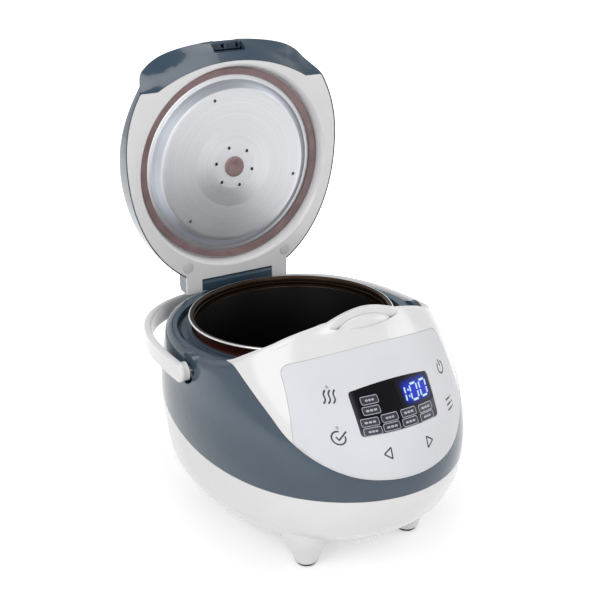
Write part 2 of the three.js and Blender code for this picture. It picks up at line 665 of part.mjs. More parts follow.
function displayShape(grow) {
  const top = displayTop + grow;
  const bottom = displayBottom - grow;
  const [wide, narrow] = [display.halfWidthTop + grow, display.halfWidthBottom + grow];
  const corner = display.cornerRadius;
  const shape = new THREE.Shape();
  shape.moveTo(-narrow + corner, bottom);
  shape.quadraticCurveTo(0, bottom + 2 * display.bottomArch, narrow - corner, bottom);
  shape.quadraticCurveTo(narrow, bottom, narrow, bottom + corner);
  shape.lineTo(wide, top - corner);
  shape.quadraticCurveTo(wide, top, wide - corner, top);
  shape.quadraticCurveTo(0, top + 2 * display.topArch, -wide + corner, top);
  shape.quadraticCurveTo(-wide, top, -wide, top - corner);
  shape.lineTo(-narrow, bottom + corner);
  shape.quadraticCurveTo(-narrow, bottom, -narrow + corner, bottom);
  return shape;
}

const displayWindow = () => surfaceLayer(0.2, display.glass).intersect(inFront(displayShape(0)));

// Slope and place of the front at the middle of the display
function displayFrame() {
  const height = (displayTop + displayBottom) / 2;
  const step = 2;
  const run = through(bodyRows.front, height - step) - through(bodyRows.front, height + step);
  return { y: -through(bodyRows.front, height), height, tilt: Math.atan2(run, 2 * step) };
}

// Slab parallel to the display, at a depth behind the front's surface
function behindDisplay(width, tall, thickness, depth) {
  const { y, height, tilt } = displayFrame();
  return solid(new THREE.BoxGeometry(width, thickness, tall)
    .translate(0, depth + thickness / 2, 0).rotateX(-tilt).translate(0, y, height));
}

const displayModule = () => behindDisplay(display.moduleWidth, display.moduleHeight, display.moduleThickness, display.moduleDepth);
const boardDepth = () => display.moduleDepth + display.moduleThickness + board.gap;
const controlBoard = () => behindDisplay(board.width, board.height, board.thickness, boardDepth());

// ---------- latch ----------

const ridgeFace = () => -lid.front - lidClearance;

function latchWindow() {
  const tall = latch.windowTop - latch.windowBottom;
  const width = latch.armWidth + 2 * latch.windowMargin;
  return box(width, 3 * ridgeWall, tall, 0, ridgeFace(), latchHeight(latch.windowBottom) + tall / 2);
}

const hookTop = () => latchHeight(latch.catchHeight) + latch.catchThickness + fit + latch.noseThickness;
const latchPivot = () => latchHeight(latch.pivotHeight);

// Upright arm on a barrel, with a nose that reaches back over the lid's catch
function latchHook() {
  const { armWidth, armThickness, armY, noseThickness, noseReach } = latch;
  const pivotHeight = latchPivot();
  const top = hookTop();
  const armHeight = top - pivotHeight;
  const arm = box(armWidth, armThickness, armHeight, 0, armY, pivotHeight + armHeight / 2);
  const noseLength = noseReach - armY;
  const nose = box(armWidth, noseLength, noseThickness, 0, armY + noseLength / 2, top - noseThickness / 2);
  const barrel = rod(latch.barrelRadius, armWidth, 'x', 0, armY, pivotHeight, 16);
  const lugWidth = armWidth + 2 * (button.legInset + button.legWidth);
  const lugs = rod(latch.lugRadius, lugWidth, 'x', 0, armY, latchHeight(latch.lugHeight), 12);
  const bore = rod(latch.pinRadius + fit / 2, 60, 'x', 0, armY, pivotHeight, 12);
  return cut(join(arm, nose, barrel, lugs), bore);
}

function latchBracket() {
  const { bracketHalfWidth: half, bracketWall: wall, bracketFront: front } = latch;
  const bottom = latchHeight(latch.bracketFloor);
  const back = ridgeFace() - ridgeWall - fit;
  const depth = back - front;
  const middle = (front + back) / 2;
  const floor = box(2 * half, depth, wall, 0, middle, bottom + wall / 2);
  const earTop = latchPivot() + latch.barrelRadius;
  const tall = earTop - bottom;
  const ears = [-1, 1].map((side) => box(wall, depth, tall, side * (half - wall / 2), middle, bottom + tall / 2));
  const bore = rod(latch.pinRadius + fit / 2, 2 * half + 2, 'x', 0, latch.armY, latchPivot(), 12);
  return cut(join(floor, ...ears), bore);
}

const latchPin = () => rod(latch.pinRadius, 2 * latch.bracketHalfWidth, 'x', 0, latch.armY, latchPivot(), 12);

// ---------- heating ----------

function innerPot() {
  const { rimRadius, rimThickness, wallRadius, wall, bottomRadius } = pot;
  const [top, bottomHeight] = [potTop, potBottom];
  const inside = wallRadius - wall;
  const stepInside = inside + pot.stepDepth;
  const centre = [wallRadius - bottomRadius, bottomHeight + bottomRadius];
  const bend = (radius) => arcSteps.map((turn) => [
    centre[0] + radius * Math.sin(turn), centre[1] - radius * Math.cos(turn)]);
  return turned([
    [0, bottomHeight], ...bend(bottomRadius),
    [wallRadius, top - rimThickness], [rimRadius - 0.6, top - rimThickness], [rimRadius, top - rimThickness / 2],
    [rimRadius - 0.6, top], [stepInside + 1, top], [stepInside, top - 1], [stepInside, top - pot.stepHeight],
    [inside, top - pot.stepHeight - 1], ...bend(bottomRadius - wall).reverse(), [0, bottomHeight + wall],
  ]);
}

const linerTop = () => rimHeight - tray.underside - fit;

// Deep cup under the tray, open at both ends, with a ledge that carries the heating plate
function innerLiner() {
  const { radius, wall } = liner;
  const ledgeRadius = plate.radius - liner.ledge;
  const floor = plateBottom() - fit - wall;
  const top = linerTop();
  const flange = radius + 7;
  return turned([
    [ledgeRadius, floor], [radius + wall, floor], [radius + wall, top - wall], [flange, top - wall],
    [flange, top], [radius, top], [radius, floor + wall], [ledgeRadius, floor + wall], [ledgeRadius, floor],
  ]);
}

const plateTop = () => potBottom - fit;
const plateBottom = () => plateTop() - plate.thickness;

function heatingPlate() {
  const top = plateTop();
  const bottom = plateBottom();
  const half = plate.heaterThickness;
  return turned([
    [plate.hubRadius, bottom], [plate.heaterRadius - 1.6 * half, bottom],
    [plate.heaterRadius - half, bottom - half], [plate.heaterRadius + half, bottom - half],
    [plate.heaterRadius + 1.6 * half, bottom], [plate.radius, bottom], [plate.radius, top - 2],
    [plate.radius - 2, top], [plate.hubRadius + 1, top], [plate.hubRadius, top - 1], [plate.hubRadius, bottom],
  ]);
}

const bracketTop = () => plateTop() - sensor.bracketDrop;

function thermostatCup() {
  const top = plateTop();
  const { cupRadius, cupHeight, stemRadius, stemLength } = sensor;
  return turned([
    [0, top], [cupRadius - 1, top], [cupRadius, top - 1], [cupRadius, top - cupHeight], [cupRadius - 1.2, top - cupHeight],
    [cupRadius - 1.2, top - 1.6], [stemRadius, top - 1.6], [stemRadius, top - stemLength], [0, top - stemLength],
  ], 20);
}

function thermostatBracket() {
  const top = bracketTop();
  const thick = sensor.bracketThickness;
  const span = plate.hubRadius + 6;
  const bar = box(2 * span, 16, thick, 0, 0, top - thick / 2);
  const postHeight = plateBottom() - fit - top;
  const posts = [-1, 1].map((side) => (
    box(sensor.postWidth, 8, postHeight + thick, side * (span - sensor.postWidth / 2), 0, top + (postHeight - thick) / 2)));
  return cut(join(bar, ...posts), rod(sensor.stemRadius + 0.6, 20, 'z', 0, 0, top, 24));
}

// Round wire wound about an upright line
function coilSpring(meanRadius, wire, turns, bottom, top) {
  class Helix extends THREE.Curve {
    getPoint(share, target = new THREE.Vector3()) {
      const turn = 2 * Math.PI * turns * share;
      const height = bottom + wire + (top - bottom - 2 * wire) * share;
      return target.set(meanRadius * Math.cos(turn), meanRadius * Math.sin(turn), height);
    }
  }
  const section = new THREE.Shape();
  section.absarc(0, 0, wire, 0, 2 * Math.PI, false);
  const geometry = new THREE.ExtrudeGeometry(section, {
    steps: turns * 9, curveSegments: 3, bevelEnabled: false, extrudePath: new Helix(),
  });
  return solid(geometry);
}

const thermostatSpring = () => coilSpring(sensor.stemRadius + 2.6, 0.6, 4, bracketTop() + fit, plateTop() - 1.6 - fit);

// ---------- hinge and handle ----------

function hingeBridge() {
  const half = hinge.legInside - hinge.sideGap;
  const { y, bridgeRadius: radius } = hinge;
  const height = hingeHeight;
  const base = rimHeight + fit;
  const back = y + hinge.bridgeDepth;
  const shape = new THREE.Shape();
  shape.moveTo(y - radius, base);
  shape.lineTo(back - 4, base);
  shape.quadraticCurveTo(back, base + 1, back, height);
  shape.quadraticCurveTo(back, height + radius, back - 3, height + radius);
  shape.lineTo(y, height + radius);
  shape.absarc(y, height, radius, Math.PI / 2, Math.PI, false);
  shape.closePath();
  const pocket = rod(hinge.springMean + hinge.springWire + 0.3, 2 * hinge.springPocket, 'x', 0, y, height, 16);
  const rearMouth = box(2 * hinge.springPocket, 14, radius + 1.4, 0, y + 7, height);
  return cut(
    prismAcross(shape, -half, half),
    rod(hinge.pinRadius + hinge.running / 2, 100, 'x', 0, y, height, 16),
    pocket,
    rearMouth,
  );
}

const hingePin = () => rod(hinge.pinRadius, hinge.pinLength, 'x', 0, hinge.y, hingeHeight, 16);

function lidSpring() {
  const half = hinge.springPocket - 1;
  const coil = coilSpring(hinge.springMean, hinge.springWire, 7, -half, half);
  return coil.rotate([0, 90, 0]).translate([0, hinge.y, hingeHeight]);
}

// Half of a rounded loop: the bail's plan, from the left pivot round the back to the right one
function bailCurve(halfWidth, length) {
  return fractions(28).map((share) => {
    const turn = Math.PI * (1 - share);
    const power = 2 / handle.squareness;
    const across = Math.cos(turn);
    return new THREE.Vector2(
      halfWidth * Math.sign(across) * Math.abs(across) ** power,
      length * Math.abs(Math.sin(turn)) ** power,
    );
  });
}

function carryHandle() {
  const { thickness, band, edge } = handle;
  const [halfWidth, length] = [bailHalfWidth(), bailLength()];
  const end = band / 2;
  const outer = bailCurve(halfWidth + thickness - edge, length + thickness - edge);
  const inner = bailCurve(halfWidth + edge, length + edge).reverse();
  const plan = new THREE.Shape([
    new THREE.Vector2(-halfWidth - thickness + edge, -end), ...outer,
    new THREE.Vector2(halfWidth + thickness - edge, -end), new THREE.Vector2(halfWidth + edge, -end),
    ...inner, new THREE.Vector2(-halfWidth - edge, -end),
  ]);
  const loop = solid(new THREE.ExtrudeGeometry(plan, {
    depth: band - 2 * edge, bevelEnabled: true, bevelSize: edge, bevelThickness: edge, bevelSegments: 1,
  }).translate(0, 0, edge - band / 2));
  const side = new THREE.Shape();
  side.absarc(0, 0, band / 2, Math.PI / 2, (3 * Math.PI) / 2, false);
  side.lineTo(length * 1.2, -band);
  side.lineTo(length * 1.2, band);
  side.closePath();
  const trimmed = loop.intersect(prismAcross(side, -2 * halfWidth, 2 * halfWidth));
  const discs = [-1, 1].map((way) => (
    rod(handle.discRadius, handle.discInset + 2, 'x', way * (halfWidth - handle.discInset / 2 + 1), 0, 0, 20)));
  const bores = [-1, 1].map((way) => (
    rod(handle.pinRadius + fit, 2 * handle.pinReach, 'x', way * (halfWidth - handle.discInset), 0, 0, 12)));
  return cut(join(trimmed, ...discs), ...bores)
    .rotate([handle.tilt, 0, 0]).translate([0, handle.pivotY, handleHeight]);
}

function handlePin(side) {
  const outside = bailHalfWidth() - handle.discInset + handle.pinReach - fit;
  const inside = handleSide() - shellWall - handle.padDepth - 1;
  const length = outside - inside;
  const head = rod(handle.pinRadius + 2, 1.6, 'x', side * (inside - 1.6), handle.pivotY, handleHeight, 12);
  const shank = rod(handle.pinRadius, length + 1, 'x', side * (inside + length / 2 - 0.5), handle.pivotY, handleHeight, 12);
  return join(head, shank);
}

// ---------- lid, modelled shut ----------

// The chin's underside rises from the panel's arc to a crease, and on to the lid's front edge
const chinShare = (y) => THREE.MathUtils.smoothstep(-y, lid.chinStart, lid.chinEnd);
const chinHeight = (y) => planeHeight + lid.chinRise * chinShare(y);

// Where the white panel meets the chin in front, and the shell's edge elsewhere
function panelEdge(angle, inset) {
  const [x, y] = outline(angle, lidReach(lid.edge + inset));
  const share = shareToArc(x, y, lid.panelArcRadius - inset, lid.panelArcFront - inset);
  return share < 1 ? [x * share, widestY + (y - widestY) * share] : [x, y];
}

function chinCrease(angle) {
  const [edgeX, edgeY] = outline(angle, lidReach());
  const [panelX, panelY] = panelEdge(angle, 0);
  const span = Math.hypot(edgeX, edgeY) - Math.hypot(panelX, panelY);
  const wanted = (lid.creaseRadius - Math.hypot(panelX, panelY)) / Math.max(span, 0.1);
  const share = THREE.MathUtils.clamp(wanted, 0.4, 0.75);
  const y = panelY + (edgeY - panelY) * share;
  return [panelX + (edgeX - panelX) * share, y, planeHeight + lid.creaseRise * chinShare(y)];
}

function domePoint(angle, share, inset) {
  const turn = (share * Math.PI) / 2;
  const spread = Math.cos(turn) ** (2 / lid.domePower);
  const rise = Math.sin(turn) ** (2 / lid.domePower);
  const [x, y] = outline(angle, lidReach(inset));
  const start = Math.max(skirtTop, chinHeight(y) + 3.5);
  const top = skirtTop + lid.domeRise - inset;
  return [x * spread, y * spread, start + (top - start) * rise];
}

// The lid's legs are rounded about the hinge and cut flat behind it, so the handle can pass
function shellLegs() {
  const { y, knuckleRadius: radius, knuckleBack: back, legRoot } = hinge;
  const corner = Math.acos(back / radius);
  const shape = new THREE.Shape();
  shape.moveTo(y - legRoot, hingeHeight - radius);
  shape.lineTo(y - legRoot, hingeHeight + radius);
  shape.lineTo(y, hingeHeight + radius);
  shape.absarc(y, hingeHeight, radius, Math.PI / 2, corner, true);
  shape.absarc(y, hingeHeight, radius, -corner, -Math.PI / 2, true);
  shape.closePath();
  const trim = box(beyond, beyond, 40, 0, 0, panelTop + fit - 20);
  return [-1, 1].map((side) => cut(prismAcross(shape, ...legSpan(side)), trim));
}

const legSpan = (side) => (side < 0 ? [-hinge.legOutside, -hinge.legInside] : [hinge.legInside, hinge.legOutside]);

function lidOuterShell() {
  const domeRows = fractions(5);
  const outer = domeRows.slice(0, -1).reverse().map((share) => (angle) => domePoint(angle, share, 0));
  const bottomEdge = (angle) => {
    const [x, y] = outline(angle, lidReach());
    return [x, y, chinHeight(y)];
  };
  const seat = (lift) => (angle) => [...panelEdge(angle, 0), planeHeight + lift];
  const innerEdge = (angle) => {
    const [x, y] = outline(angle, lidReach(lid.wall));
    return [x, y, Math.max(chinHeight(y) + lid.wall, panelTop + 0.5)];
  };
  const inner = domeRows.slice(0, -1).map((share) => (angle) => domePoint(angle, share, lid.wall));
  const apex = (inset) => () => [0, 0, skirtTop + lid.domeRise - inset];
  const shell = ringLoft([
    apex(0), ...outer, bottomEdge, chinCrease, seat(0), seat(lid.panelThickness + 0.4), innerEdge, ...inner, apex(lid.wall),
  ], false);
  const ventWell = rod(vent.capRadius + 0.6, 40, 'z', 0, vent.y, ventFloor() + 20, 24);
  const ventSkin = rod(vent.capRadius + 2.4, ventSkinTop() - ventFloor() + 2, 'z', 0, vent.y, (ventFloor() + ventSkinTop()) / 2 - 1, 24);
  const shaped = cut(join(cut(shell, bridgeNotch()), ...shellLegs(), ventSkin.intersect(domeFill())), ventWell);
  const ventHole = rod(vent.tubeRadius + vent.tubeWall + fit, 60, 'z', 0, vent.y, ventFloor(), 16);
  return cut(
    shaped,
    ventHole,
    latchMouth(),
    ...[-1, 1].map((side) => legCover(side, fit)),
    rod(hinge.pinRadius + hinge.running, hinge.pinLength + 1, 'x', 0, hinge.y, hingeHeight, 16),
  );
}

function domeFill() {
  const rows = fractions(5).slice(0, -1).reverse();
  return ringLoft([
    () => [0, 0, skirtTop + lid.domeRise - 0.2],
    ...rows.map((share) => (angle) => domePoint(angle, share, 0.2)),
    () => [0, 0, skirtTop],
  ], false);
}

function domeHeight(y) {
  const angle = Math.PI;
  const reach = outline(angle, lidReach())[1];
  const spread = Math.min(y / reach, 1);
  const turn = Math.acos(spread ** (lid.domePower / 2));
  return skirtTop + lid.domeRise * Math.sin(turn) ** (2 / lid.domePower);
}

const ventSkinTop = () => domeHeight(vent.y);
const ventFloor = () => domeHeight(vent.y + vent.capRadius) - vent.wellDepth;

function latchMouth() {
  const { mouthHalfWidth: half, mouthDepth: depth } = latch;
  return box(2 * half, 2 * depth, 60, 0, -lid.front, latchHeight(latch.mouthTop) - 30);
}

function latchCatch() {
  const half = latch.mouthHalfWidth - fit;
  const { catchThickness, catchDepth } = latch;
  const catchHeight = latchHeight(latch.catchHeight);
  const front = -lid.front + 0.6;
  const bar = box(2 * half, catchDepth, catchThickness, 0, front + catchDepth / 2, catchHeight + catchThickness / 2);
  const cheekWidth = 2;
  const backFace = -lid.front + latch.mouthDepth - fit;
  const cheekDepth = backFace - front;
  const tall = latchHeight(latch.mouthTop) - fit - catchHeight;
  const cheeks = [-1, 1].map((side) => (
    box(cheekWidth, cheekDepth, tall, side * (half - cheekWidth / 2), front + cheekDepth / 2, catchHeight + tall / 2)));
  const web = box(2 * half, 1.4, tall, 0, backFace - 0.7, catchHeight + tall / 2);
  return join(bar, ...cheeks, web);
}

const recessCeiling = planeHeight + recess.ceiling;

// Circle about the pot's axis that stays inside the panel's edge
function heldCircle(radius, height) {
  return (angle) => {
    const [x, y] = panelEdge(angle, fit);
    const scale = Math.min(radius / Math.hypot(x, y), 1);
    return [x * scale, y * scale, height];
  };
}

// Flat cover under a leg of the lid
function legCover(side, grow) {
  const [from, to] = legSpan(side);
  const back = hinge.y + hinge.knuckleBack + grow;
  const front = hinge.y - hinge.legRoot - grow;
  const thick = lid.panelThickness + 2 * grow;
  const middle = planeHeight + lid.panelThickness / 2;
  return box(to - from + 2 * grow, back - front, thick, (from + to) / 2, (front + back) / 2, middle);
}

function lidInnerPanel() {
  const bottom = planeHeight;
  const edge = (height) => (angle) => [...panelEdge(angle, fit), height];
  const ceiling = recessCeiling;
  const back = ceiling + recess.ceilingWall;
  const fillet = recess.mouthRadius - recess.radius;
  const mouth = arcSteps.map((turn) => circle(
    recess.mouthRadius - fillet * Math.sin(turn), bottom + fillet * (1 - Math.cos(turn))));
  const shoulder = recess.radius + recess.ceilingWall;
  const body = ringLoft([
    () => [0, 0, ceiling], circle(recess.radius, ceiling), ...mouth.slice().reverse(), edge(bottom), edge(panelTop),
    heldCircle(shoulder, panelTop), circle(shoulder, back), () => [0, 0, back],
  ], false);
  const studHole = rod(stud.flangeRadius - 3.4, 40, 'z', 0, 0, ceiling, 20);
  const bumperHoles = [-1, 1].map((side) => (
    rod(bumper.radius + fit / 2, 2 * bumper.depth, 'z', side * bumper.across, bumper.back, bottom, 16)));
  const port = rod(vent.portRadius, 40, 'z', 0, vent.y, ceiling, 16);
  const covers = [-1, 1].map((side) => legCover(side, 0));
  return cut(join(cut(body, bridgeNotch()), ...covers), studHole, port, ...bumperHoles);
}

// Room between the lid's legs for the hinge bridge
function bridgeNotch() {
  const front = hinge.y - hinge.bridgeRadius - hinge.sweepGap;
  return box(2 * hinge.legInside, 60, 100, 0, front + 30, hingeHeight);
}

function bumperPlug(side) {
  const length = bumper.depth + bumper.proud - fit;
  const middle = planeHeight - bumper.proud + length / 2;
  return rod(bumper.radius, length, 'z', side * bumper.across, bumper.back, middle, 16);
}

// Post in the middle of the recess that the inner lid's grommet snaps onto
function innerLidStud() {
  const { flangeRadius, collar, flangeThickness } = stud;
  const shank = grommet.boreRadius - fit;
  const head = plateauHeight + 1.6;
  const neck = flangeRadius - 4;
  const back = recessCeiling + recess.ceilingWall + fit;
  return turned([
    [0, head], [shank, head], [shank, recessCeiling - collar], [neck, recessCeiling - collar], [neck, back],
    [flangeRadius, back], [flangeRadius, back + flangeThickness], [0, back + flangeThickness],
  ], 20);
}

function ventSeat() {
  const bottom = recessCeiling + recess.ceilingWall + fit;
  const top = ventFloor() + 2;
  const outside = vent.tubeRadius + vent.tubeWall;
  return turned([
    [vent.tubeRadius, bottom + 1.6], [vent.portRadius, bottom + 1.6], [vent.portRadius, bottom], [outside + 2.4, bottom],
    [outside + 2.4, bottom + 1.6], [outside, bottom + 1.6], [outside, top], [vent.tubeRadius, top], [vent.tubeRadius, bottom + 1.6],
  ], 16).translate([0, vent.y, 0]);
}

function steamVentCap() {
  const bottom = ventFloor() + fit;
  const top = bottom + vent.wellDepth + vent.capHeight;
  const radius = vent.capRadius;
  const cap = turned([
    [0, top], [radius * 0.55, top - 0.5], [radius * 0.9, top - 2], [radius, top - 3.6], [radius, bottom],
    [radius - vent.wall, bottom], [radius - vent.wall, top - 4.4], [radius * 0.5, top - 2.4], [0, top - 2],
  ], 24);
  const holes = fractions(vent.holeCount).slice(1).map((share) => {
    const turn = 2 * Math.PI * share;
    return rod(vent.holeRadius, 20, 'z', vent.holeCircle * Math.cos(turn), vent.holeCircle * Math.sin(turn), top, 8);
  });
  return cut(cap, ...holes).translate([0, vent.y, 0]);
}

// ---------- inner lid, modelled shut ----------

function innerLidDisc() {
  const { zoneStep, thickness } = disc;
  const low = plateauHeight;
  const raised = low + 2 * zoneStep;
  const sheet = turned([
    [grommet.neckRadius, raised], [disc.centreRadius, raised], [disc.centreRadius + 1.5, low + zoneStep],
    [disc.middleRadius, low + zoneStep], [disc.middleRadius + 2.5, low], [disc.plateauRadius, low],
    [disc.slopeRadius, ringHeight], [disc.radius, ringHeight], [disc.radius, ringHeight + thickness],
    [disc.slopeRadius - thickness, ringHeight + thickness], [disc.plateauRadius - thickness, raised + thickness],
    [grommet.neckRadius, raised + thickness], [grommet.neckRadius, raised],
  ]);
  const holes = (count, radius, circleRadius, start) => fractions(count).slice(1).map((share) => {
    const turn = 2 * Math.PI * share + THREE.MathUtils.degToRad(start);
    return rod(radius, 20, 'z', circleRadius * Math.sin(turn), -circleRadius * Math.cos(turn), low, 8);
  });
  return cut(
    sheet,
    ...holes(disc.ventCount, disc.ventRadius, disc.ventCircle, 10),
    ...holes(disc.dripCount, disc.dripRadius, disc.dripCircle, disc.dripAngle),
  );
}

// Soft ring that grips the disc's edge and spreads to a lip, which seals on the pot's rim
function lidGasket() {
  const { outerRadius, thickness, innerRadius } = gasket;
  const lipHeight = ringHeight - gasket.lipDrop;
  const sheetBottom = ringHeight - fit;
  const sheetTop = ringHeight + disc.thickness + fit;
  const groove = disc.radius + fit;
  const back = recessCeiling - fit;
  const web = groove + thickness;
  return turned([
    [innerRadius, sheetBottom - thickness], [groove + 1, sheetBottom - thickness], [outerRadius, lipHeight],
    [outerRadius - 0.6, lipHeight + thickness], [web, sheetTop - 0.4], [web, back], [innerRadius, back],
    [innerRadius, sheetTop], [groove, sheetTop], [groove, sheetBottom], [innerRadius, sheetBottom],
    [innerRadius, sheetBottom - thickness],
  ]);
}

function innerLidGrommet() {
  const bottom = plateauHeight - grommet.drop;
  const sheetBottom = plateauHeight + 2 * disc.zoneStep - fit;
  const sheetTop = sheetBottom + disc.thickness + 2 * fit;
  const neck = grommet.neckRadius - fit;
  const inside = grommet.boreRadius;
  const top = sheetTop + 2;
  return turned([
    [0, bottom], [grommet.radius - 1, bottom + 0.3], [grommet.radius, bottom + 1], [grommet.radius, sheetBottom],
    [neck, sheetBottom], [neck, sheetTop], [neck + 2, sheetTop], [neck + 1.4, top], [inside, top],
    [inside, bottom + 1.6], [0, bottom + 1.6],
  ], 20);
}

// ---------- assembly ----------

const cooker = new THREE.Group();
const around = new THREE.Group();
cooker.add(around);

around.add(
  piece('base_shell', baseShell(), 'whitePlastic'),
  piece('bottom_cover', bottomCover(), 'greyPlastic'),
  piece('body_shell', bodyShell(), 'slatePlastic'),
  piece('rim_tray', rimTray(), 'slatePlastic'),
  piece('front_panel', frontPanel(), 'whitePlastic'),
  piece('control_fascia', controlFascia(), 'palePlastic'),
  piece('display_window', displayWindow(), 'darkGlass'),
  piece('display_module', displayModule(), 'blackPlastic'),
  piece('control_board', controlBoard(), 'circuitBoard'),
  piece('inner_liner', innerLiner(), 'aluminium'),
  piece('heating_plate', heatingPlate(), 'aluminium'),
  piece('thermostat_cup', thermostatCup(), 'steel'),
  piece('thermostat_bracket', thermostatBracket(), 'steel'),
  piece('thermostat_spring', thermostatSpring(), 'steel'),
  piece('power_board', powerBoard(), 'circuitBoard'),
  piece('power_inlet', powerInlet(), 'blackPlastic'),
  piece('hinge_bridge', hingeBridge(), 'slatePlastic'),
  piece('hinge_pin', hingePin(), 'steel'),
  piece('lid_spring', lidSpring(), 'steel'),
  piece('inner_pot', innerPot(), 'coatedMetal'),
  piece('release_button', releaseButton(), 'whitePlastic'),
  piece('latch_hook', latchHook(), 'greyPlastic'),
  piece('latch_bracket', latchBracket(), 'steel'),
  piece('latch_pin', latchPin(), 'steel'),
  piece('carry_handle', carryHandle(), 'whitePlastic'),
  piece('handle_pin_left', handlePin(-1), 'steel'),
  piece('handle_pin_right', handlePin(1), 'steel'),
);

legPlaces().forEach((place) => {
  const end = place.y < 0 ? 'front' : 'back';
  const side = place.x < 0 ? 'left' : 'right';
  around.add(piece(`foot_pad_${end}_${side}`, footPad(place), 'rubber'));
});

// The lid turns about the hinge's axis, which is its group's own origin
const openLid = new THREE.Group();
const shutLid = new THREE.Group();
openLid.position.set(0, hinge.y, hingeHeight);
openLid.rotation.x = -THREE.MathUtils.degToRad(hinge.openAngle);
shutLid.position.set(0, -hinge.y, -hingeHeight);
openLid.add(shutLid);
around.add(openLid);

shutLid.add(
  piece('lid_outer_shell', lidOuterShell(), 'slatePlastic'),
  piece('lid_inner_panel', lidInnerPanel(), 'whitePlastic'),
  piece('latch_catch', latchCatch(), 'slatePlastic'),
  piece('inner_lid_stud', innerLidStud(), 'whitePlastic'),
  piece('lid_bumper_left', bumperPlug(-1), 'greyPlastic'),
  piece('lid_bumper_right', bumperPlug(1), 'greyPlastic'),
  piece('vent_seat', ventSeat(), 'silicone'),
  piece('steam_vent_cap', steamVentCap(), 'slatePlastic'),
  piece('inner_lid_disc', innerLidDisc(), 'aluminium'),
  piece('lid_gasket', lidGasket(), 'silicone'),
  piece('inner_lid_grommet', innerLidGrommet(), 'silicone'),
);

// Centre the footprint on the origin
cooker.updateMatrixWorld(true);
const whole = new THREE.Box3().setFromObject(cooker, true);
around.position.y = -(whole.min.y + whole.max.y) / 2;

export default cooker;
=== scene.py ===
import math

import bmesh
import bpy
from mathutils import Matrix, Vector


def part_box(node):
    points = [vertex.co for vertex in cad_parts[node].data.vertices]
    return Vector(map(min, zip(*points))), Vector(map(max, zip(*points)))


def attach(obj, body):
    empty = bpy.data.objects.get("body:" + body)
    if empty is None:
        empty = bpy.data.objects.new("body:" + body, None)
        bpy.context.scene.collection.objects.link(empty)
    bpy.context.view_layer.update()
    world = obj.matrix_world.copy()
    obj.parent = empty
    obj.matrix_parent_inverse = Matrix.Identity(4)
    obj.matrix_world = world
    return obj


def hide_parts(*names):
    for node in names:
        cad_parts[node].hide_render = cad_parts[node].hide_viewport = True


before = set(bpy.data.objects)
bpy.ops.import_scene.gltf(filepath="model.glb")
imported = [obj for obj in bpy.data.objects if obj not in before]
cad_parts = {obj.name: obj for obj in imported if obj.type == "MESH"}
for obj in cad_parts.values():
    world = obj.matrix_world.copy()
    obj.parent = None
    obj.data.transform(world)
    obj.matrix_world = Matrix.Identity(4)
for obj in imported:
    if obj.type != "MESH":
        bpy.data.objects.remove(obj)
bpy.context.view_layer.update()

mm = 0.001
potLow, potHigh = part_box("inner_pot")
axisY = (potLow.y + potHigh.y) / 2  # every form is worked out about the pot's upright axis


# ---- shader maths ----

class Socket:  # one output, which expressions can use as a number
    def __init__(self, finish, output):
        self.finish = finish
        self.output = output

    def maths(self, operation, *values):
        return self.finish.add("ShaderNodeMath", {"operation": operation}, dict(enumerate(values)))

    def __add__(self, other): return self.maths("ADD", self, other)
    def __radd__(self, other): return self.maths("ADD", other, self)
    def __sub__(self, other): return self.maths("SUBTRACT", self, other)
    def __rsub__(self, other): return self.maths("SUBTRACT", other, self)
    def __mul__(self, other): return self.maths("MULTIPLY", self, other)
    def __rmul__(self, other): return self.maths("MULTIPLY", other, self)
    def __truediv__(self, other): return self.maths("DIVIDE", self, other)
    def __rtruediv__(self, other): return self.maths("DIVIDE", other, self)
    def __pow__(self, other): return self.maths("POWER", self, other)

    def ramp(self, low, high):  # 0 below low and 1 above high, eased between
        ends = {"Value": self, "From Min": low, "From Max": high}
        return self.finish.add("ShaderNodeMapRange", {"interpolation_type": "SMOOTHSTEP"}, ends)

    def band(self, low, high, soft):  # 1 between low and high
        return self.ramp(low - soft, low) * (1 - self.ramp(high, high + soft))


